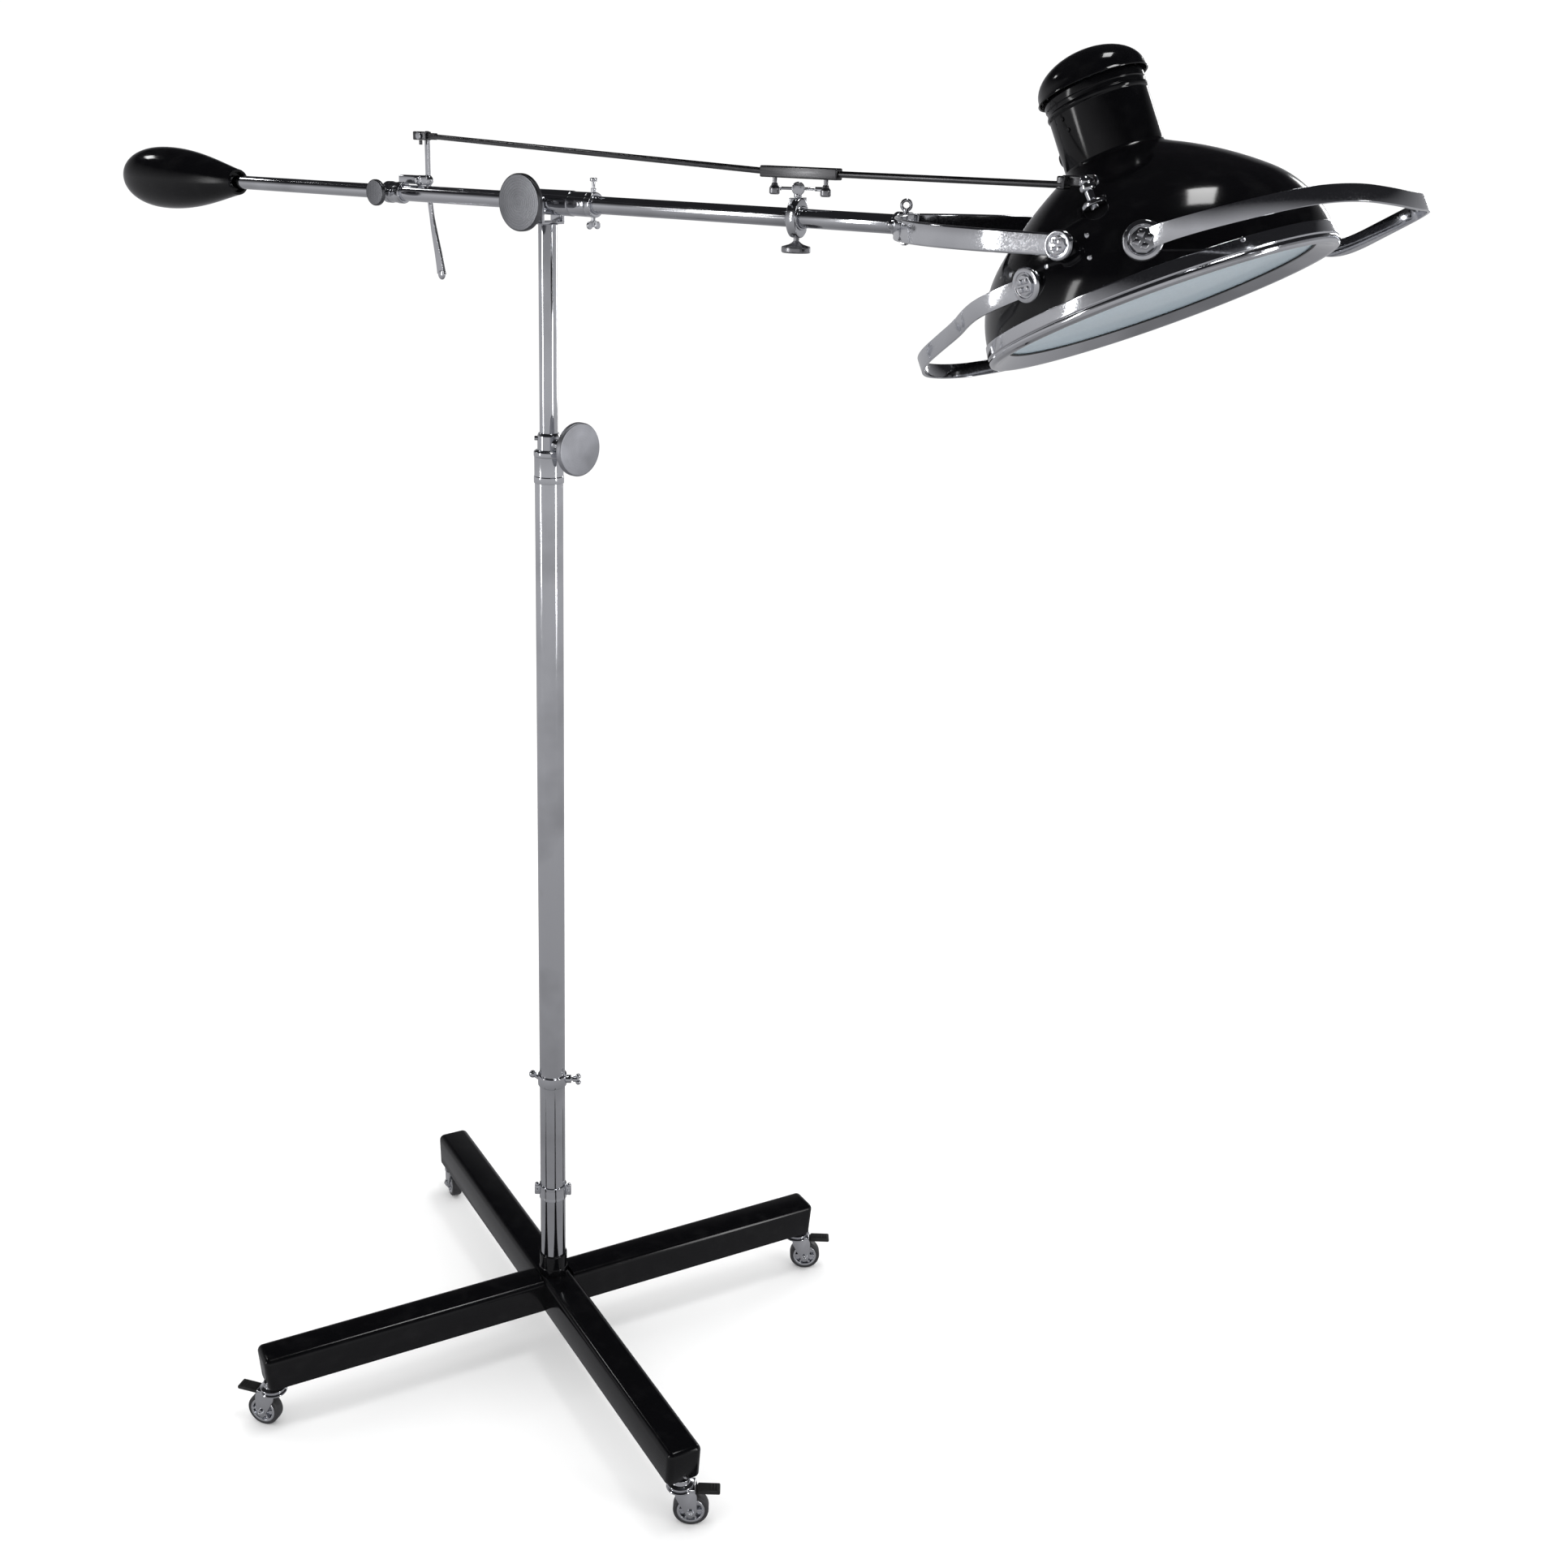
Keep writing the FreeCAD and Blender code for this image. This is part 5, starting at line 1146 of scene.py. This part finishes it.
class LAMP_OT_shade(Operator):
    """Build the dome, its neck and cap, the rim ring and the lens"""
    bl_idname = "lamp.shade"
    bl_label = "Shade"

    def execute(self, context):
        dome = dome_outline(0.0)
        flare = [(55.6, 87.6), (54.1, 89.2), (53.6, 91.4)]
        inner = dome_outline(1.2)
        outline = dome[:-1] + flare + [(52.2, 91.4)] + inner[::-1]
        piece("shade_bowl", turned(in_metres(outline), HEAD, SHADE_UP, steps=144), "enamel", "shade",
              "shade_black",
              "shade_dome")
        neck = [(52.3, 88), (53.5, 88), (53.5, 147), (54.6, 148.6), (55.1, 150.5), (54.6, 152.4), (53.5, 154),
                (53.5, 158),
                (54.3, 159), (54.3, 168), (52.3, 168)]
        screws = []
        for up, angle in ((89, 105), (77.5, 92), (141, 112), (128, 108)):
            radius = 53.5 if up > 80 else 66.0
            at = HEAD + SHADE_UP * up * MM
            way = outward(angle, -1)
            screws.append(bar(2.2 * MM, at + way * (radius - 2) * MM, at + way * (radius + 1.6) * MM,
                              0.5 * MM, 16))
        piece("shade_chimney", joined(turned(in_metres(neck), HEAD, SHADE_UP, 0.3 * MM), *screws), "enamel",
              "shade",
              "shade_black", "shade_neck")
        steps = [math.pi / 2 * k / 14 for k in range(15)]
        cap = [(58.4 * math.sin(q), 171.5 + 35.5 * math.cos(q)) for q in steps]
        cap += [(59.2, 169.6), (60.0, 168.2), (59.6, 167.4), (58.2, 168.2)]
        cap += [(57.2 * math.sin(q), 171.1 + 34.3 * math.cos(q)) for q in steps[::-1]]
        piece("chimney_cap", turned(in_metres(cap), HEAD, SHADE_UP, closed=False), "enamel", "shade",
              "shade_black",
              "vent_cap")
        ring = [(188.3, -55), (188.9, -54.8), (189.2, -56), (190.6, -67.4), (190.2, -68.4), (189.4, -69),
                (190.5, -70.6),
                (190.8, -72.6), (190.2, -75.4), (188.6, -77.4), (186.4, -78), (183, -77.4), (168.4, -68.6),
                (166.9, -67),
                (167.4, -66), (176, -66.2), (185.2, -73.4), (187.6, -73.2), (188.3, -71)]
        clip_at = HEAD - SHADE_UP * 57 * MM
        way = outward(37, -1)
        screw = axis_bar(2.6, clip_at, way, 189, 190.6, 0.5, 18)
        piece("shade_rim_ring", joined(turned(in_metres(ring), HEAD, SHADE_UP, 0.5 * MM, steps=144), screw),
              "chrome",
              "shade", "rim_chrome", "rim_ring")
        gasket = in_metres([(164.6, -67.6), (167.2, -68.0), (168.6, -67.0), (168.6, -66.2), (164.6, -66.6)])
        piece("lens_gasket", turned(gasket, HEAD, SHADE_UP, 0.2 * MM, steps=144), "black_plastic", "shade",
              "gland_rubber")
        glass = [(0, -66.6), (60, -66.5), (120, -66.3), (172, -66.0), (172, -62.2), (120, -62.5), (60, -62.7),
                 (0, -62.8)]
        piece("shade_lens", turned(in_metres(glass), HEAD, SHADE_UP, closed=False, steps=144), "lens",
              "shade", "lens",
              "lens_glass")
        return {"FINISHED"}


FRONT_LOOP = ((75, -165.5, -27), (96, -168, -28), (118, -168, -30), (150, -163, -34), (200, -146, -41),
              (236, -122, -47),
              (262, -88, -56), (276, -46, -67), (280, 0, -74), (276, 46, -74), (262, 88, -72),
              (238, 120, -71),
              (200, 146, -71), (160, 160, -73), (135, 168, -70), (110, 174, -58), (92, 171, -40),
              (75, 165.5, -27))
REAR_LOOP = ((-49, -168.5, -22), (-74, -172, -22), (-112, -171, -22), (-138, -158, -24), (-166, -136, -28),
             (-204, -116, -32), (-250, -86, -36), (-281, -44, -40), (-290, 0, -44), (-281, 44, -50),
             (-262, 74, -54),
             (-238, 98, -58), (-205, 118, -60), (-168, 138, -60), (-138, 158, -54), (-112, 171, -42),
             (-74, 172, -29),
             (-49, 168.5, -22))


def slotted_bolt(seat, way, radius):
    """Eight-sided bolt head with four raised quarters that leave a cross slot between them."""
    head = bar(radius * MM, seat, seat + way * 2.6 * MM, 0.7 * MM, 8)
    turn = toward(way, seat)
    quarters = []
    for x in (-1, 1):
        for y in (-1, 1):
            centre = turn @ Vector((x * radius * 0.36 * MM, y * radius * 0.36 * MM, 3.4 * MM))
            side = radius * 0.52 * MM
            quarter = block((side, side, 3.0 * MM), (0, 0, 0), 1.0 * MM)
            quarters.append(placed(quarter, Matrix.Translation(centre) @ toward(way)))
    return joined(head, *quarters)


class LAMP_OT_handles(Operator):
    """Build the two grab handles and the rosettes on the shade"""
    bl_idname = "lamp.handles"
    bl_label = "Handles"

    def execute(self, context):
        for name, loop in (("front", FRONT_LOOP), ("rear", REAR_LOOP)):
            path = smooth_path([shade(*place) for place in loop])
            last = len(path) - 1
            widths = [(17 + 3.5 * abs(2 * k / last - 1) ** 2) * MM for k in range(last + 1)]
            strip = strap(path, SHADE_UP, widths, sizes().handle_thickness, 1.3 * MM)
            piece("grab_handle_" + name, strip, "chrome", "shade", "yoke_chrome", "handle_" + name)
        parts = []
        for angle, up, radius, size in ((65, -27, 181.4, 20.0), (106, -22, 179.6, 18.5)):
            for side in (-1, 1):
                parts.append(self.rosette(angle, up, radius, size, side))
        for side in (-1, 1):
            parts += self.pivot_bolt(side)
        parts += self.rivets()
        piece("shade_rosettes", joined(*parts), "chrome", "shade", "small_steel", "shade_bolts")
        return {"FINISHED"}

    def rosette(self, angle, up, radius, size, side):
        """Large domed washer with a slotted nut over a handle's end."""
        way = outward(angle, side)
        centre = HEAD + SHADE_UP * up * MM
        seat = radius + 5.0
        cover = [(0, -6), (size * 0.55, -6), (size, -4), (size, 0), (size - 1.2, 1.6), (size - 5, 2.4),
                 (size - 6, 1.4),
                 (0, 1.4)]
        disc = turned(in_metres(cover), centre + way * seat * MM, way, 0.4 * MM, False, 64)
        bolt = slotted_bolt(centre + way * (seat + 1.2) * MM, way, size - 7.5)
        shank = bar(4 * MM, centre + way * (radius - 9) * MM, centre + way * seat * MM, steps=24)
        nut = bar(7.2 * MM, centre + way * (radius - 9) * MM, centre + way * (radius - 2.5) * MM, 0.6 * MM, 6)
        return joined(disc, bolt, shank, nut)

    def pivot_bolt(self, side):
        """Bolt from the dome out through a prong, with spacer washers and a domed nut."""
        out = ACROSS * side
        seat = HEAD + out * 185 * MM
        cover = [(0, 0), (15, 0), (15, 1.8), (13.6, 3), (11.5, 3), (11, 2), (0, 2)]
        nut = joined(turned(in_metres(cover), seat, out, 0.4 * MM, False, 56),
                     slotted_bolt(seat + out * 1.8 * MM, out, 9.5))
        pin = bar(5 * MM, HEAD + out * 157 * MM, seat, steps=24)
        washer = turned(in_metres([(5, 0), (11, 0), (11, 11), (5, 11)]), HEAD + out * 167.8 * MM, out,
                        0.8 * MM, steps=40)
        inner = axis_bar(9, HEAD, out, 157, 164, 0.6, 6)
        return [nut, pin, washer, inner]

    def rivets(self):
        """Small rivet heads on the dome near the pivots."""
        heads = []
        for angle, up, radius in ((82, 0, 168.6), (82, -23, 180.0), (117, -2, 169.5), (98, -13, 175.4)):
            for side in (-1, 1):
                way = outward(angle, side)
                at = HEAD + SHADE_UP * up * MM + way * (radius - 1.0) * MM
                heads.append(bar(2.6 * MM, at, at + way * 2.4 * MM, 0.8 * MM, 16))
        return heads


class LAMP_OT_lamp(Operator):
    """Build the lamp holder, the bulb and the grommet inside and on the neck"""
    bl_idname = "lamp.lamp"
    bl_label = "Lamp holder and bulb"

    def execute(self, context):
        holder = [(17.2, 66), (20, 66), (20, 70), (21, 71), (21, 110), (18, 112), (18, 121), (0, 121),
                  (0, 111),
                  (17.2, 110)]
        bridge = block((104 * MM, 14 * MM, 3 * MM), (0, 0, 121.5 * MM), 0.6 * MM)
        placed(bridge, Matrix.Translation(HEAD) @ Matrix.Rotation(-SHADE_TILT, 4, "Y"))
        body = turned(in_metres(holder), HEAD, SHADE_UP, 0.5 * MM, True, 64)
        piece("lamp_socket", joined(body, bridge), "brass", "shade", "holder_brass", "lamp_holder")
        foot = 65.0 - 110.0
        bulb = [(0, foot)] + [(40 * math.sin(math.radians(a)), foot + 40 - 40 * math.cos(math.radians(a)))
                              for a in range(12, 133, 12)]
        bulb += [(22, foot + 88), (17, foot + 100), (16.5, foot + 118), (16.5, 108), (0, 108)]
        piece("lamp_bulb", turned(in_metres(bulb), HEAD, SHADE_UP, closed=False, steps=64), "bulb_glass",
              "shade",
              "bulb_glass", "bulb")
        way = -SHADE_OUT
        at = HEAD + SHADE_UP * 112 * MM
        ring = turned(in_metres([(3.5, 49), (7, 49), (7, 53.6), (8.6, 54), (8.6, 56.4), (7, 58.4),
                                 (3.5, 58.4)]), at, way,
                      0.5 * MM, steps=40)
        piece("neck_grommet", ring, "black_plastic", "shade", "gland_rubber", "cable_gland")
        return {"FINISHED"}


# ---------------------------------------------------------------- lever and link
class LAMP_OT_lever(Operator):
    """Build the tilt lever behind the boom"""
    bl_idname = "lamp.lever"
    bl_label = "Lever"

    def execute(self, context):
        axle = pivot("lever_swing")
        face = 19.5
        path = [axle + Vector((x, y, z)) * MM for x, y, z in ((0, face, 62), (0, face, 30), (0, face, 0),
                                                              (2, face, -25),
                                                              (8, face, -62), (17, face, -98),
                                                              (23, face, -128))]
        line = smooth_path(path)
        last = len(line) - 1
        widths = [(6.5 + 8.5 * max(0.0, (k / last - 0.6) / 0.4) ** 0.8) * MM for k in range(last + 1)]
        blade = strap(line, ALONG, widths, 4.6 * MM, 2.0 * MM)
        top = pivot("link_level")
        hubs = [axis_bar(6.5, top, ACROSS, 17, 22, 1.0, 32),
                pipe(7.5 * MM, 2.6 * MM, axle + ACROSS * 17 * MM, axle + ACROSS * 22 * MM, 1.0 * MM, 32),
                axis_bar(2.5, top, ACROSS, 2, 20, 0.2, 20),
                axis_bar(5, top, ACROSS, 1.5, 4.5, 0.8, 24)]
        tip = path[-1]
        bead = ball(7.2 * MM, (0, 0, 0), 24)
        bmesh.ops.scale(bead, vec=(1, 0.42, 1.1), verts=bead.verts)
        bmesh.ops.translate(bead, vec=tip, verts=bead.verts)
        piece("tilt_lever", joined(blade, bead, *hubs), "chrome", "lever", "lever_chrome", "control_lever")
        return {"FINISHED"}


class LAMP_OT_link(Operator):
    """Build the telescopic link from the lever to the shade"""
    bl_idname = "lamp.link"
    bl_label = "Link"

    def execute(self, context):
        rear = pivot("link_level")
        block_start = boom(463, LINK_SIDE, 56)
        length = 105 * MM
        end_block = block((26 * MM, 11.9 * MM, 11.5 * MM), rear + Vector((-1, 10.75, 0)) * MM, 1.4 * MM)
        stub = block((30 * MM, 7 * MM, 9 * MM), rear + Vector((16, 10.0, -0.4)) * MM, 1.2 * MM, -0.2)
        rod = bar(3.5 * MM, rear + Vector((9, 10.75, 0)) * MM, block_start + ALONG * 4 * MM, 0.2 * MM, 32)
        coupler = block((length, 12.6 * MM, 12.6 * MM), block_start + ALONG * length / 2, 1.6 * MM)
        under = bar(2.4 * MM, rear + Vector((-4, 10.75, -6)) * MM, rear + Vector((-4, 10.75, -12)) * MM,
                    0.5 * MM, 18)
        piece("link_rear_rod", joined(end_block, stub, rod, coupler, under), "dark_steel", "link_rod",
              "link_steel",
              "link_rear")
        for number, share in ((1, 1 / 6), (2, 5 / 6)):
            at = block_start + ALONG * length * share
            shank = axis_bar(2.5, at, UP, -3.8, -18, 0.2, 20)
            head = turned(in_metres([(0, 12), (3.2, 12), (4, 15), (6, 17.5), (6, 23), (4.6, 24.5),
                                     (0, 24.5)]), at, -UP,
                          0.6 * MM, False, 32)
            piece("link_thumb_screw_%d" % number, joined(shank, head), "satin_steel",
                  "link_thumb_%d" % number,
                  "small_steel", "link_screw_%d" % number)
        eye = boom(SHADE_SIDE, -130, LINK_RISE)
        front = bar(3.5 * MM, block_start + ALONG * 23 * MM,
                    Vector((eye.x - 24 * MM, block_start.y, block_start.z)),
                    0.2 * MM, 32)
        knuckle = block((9 * MM, 16 * MM, 13 * MM), boom(839, -135, 58), 1.6 * MM)
        tongue = block((28 * MM, 5.8 * MM, 10.5 * MM), boom(849, -130, LINK_RISE), 1.4 * MM)
        loop = pipe(7 * MM, 4.05 * MM, eye - ACROSS * 3 * MM, eye + ACROSS * 3 * MM, 0.8 * MM, 36)
        piece("link_front_rod", joined(front, knuckle, tongue, loop), "dark_steel", "link_end", "link_steel",
              "link_front")
        self.stud()
        return {"FINISHED"}

    def stud(self):
        """Oval foot on the dome, its post and the link's pin."""
        pin = boom(SHADE_SIDE, LINK_SIDE, LINK_RISE)
        foot = shade(29.6, -143, 24)
        rise = (pin - foot).normalized()
        post = bar(4.6 * MM, foot, pin, steps=28)
        head = ball(6.4 * MM, pin, 24)
        spindle = bar(3.5 * MM, pin, pin + ACROSS * 15 * MM, 0.2 * MM, 24)
        cap = axis_bar(7, pin, ACROSS, 15, 18, 1.0, 32)
        base = turned(in_metres([(0, 2.5), (12.5, 2.5), (12.5, 6), (10, 8.6), (5, 9.6), (0, 9.8)]), foot,
                      rise, 0.6 * MM,
                      False, 40)
        collar = turned(in_metres([(0, 20), (6.5, 20), (7.5, 22), (7.5, 26), (6, 28), (0, 28)]), foot, rise,
                        0.6 * MM,
                        False, 32)
        piece("shade_link_stud", joined(post, head, spindle, cap, base, collar), "chrome", "shade",
              "small_steel",
              "link_stud")


# ---------------------------------------------------------------- panel and run
OPERATORS = (LAMP_OT_finishes, LAMP_OT_base, LAMP_OT_casters, LAMP_OT_mast, LAMP_OT_clips, LAMP_OT_tee,
             LAMP_OT_boom,
             LAMP_OT_counterweight, LAMP_OT_extension, LAMP_OT_shade, LAMP_OT_handles, LAMP_OT_lamp,
             LAMP_OT_lever,
             LAMP_OT_link, LAMP_OT_stage)


class LAMP_PT_panel(Panel):
    """Buttons that build the lamp, with its sizes and finishes"""
    bl_idname = "LAMP_PT_panel"
    bl_label = "Examination lamp"
    bl_space_type = "VIEW_3D"
    bl_region_type = "UI"
    bl_category = "Lamp"

    def draw(self, context):
        layout = self.layout
        for group in (context.scene.lamp_sizes, context.scene.lamp_finishes):
            column = layout.column(align=True)
            for name in group.__annotations__:
                column.prop(group, name)
        column = layout.column(align=True)
        for operator in OPERATORS:
            column.operator(operator.bl_idname)


CLASSES = (LampSizes, LampFinishes) + OPERATORS + (LAMP_PT_panel,)


def register():
    for cls in CLASSES:
        bpy.utils.register_class(cls)
    bpy.types.Scene.lamp_sizes = PointerProperty(type=LampSizes)
    bpy.types.Scene.lamp_finishes = PointerProperty(type=LampFinishes)


def unregister():
    del bpy.types.Scene.lamp_finishes
    del bpy.types.Scene.lamp_sizes
    for cls in reversed(CLASSES):
        bpy.utils.unregister_class(cls)


def main():
    register()
    for operator in OPERATORS:
        group, name = operator.bl_idname.split(".")
        getattr(getattr(bpy.ops, group), name)()


if __name__ == "__main__":
    main()
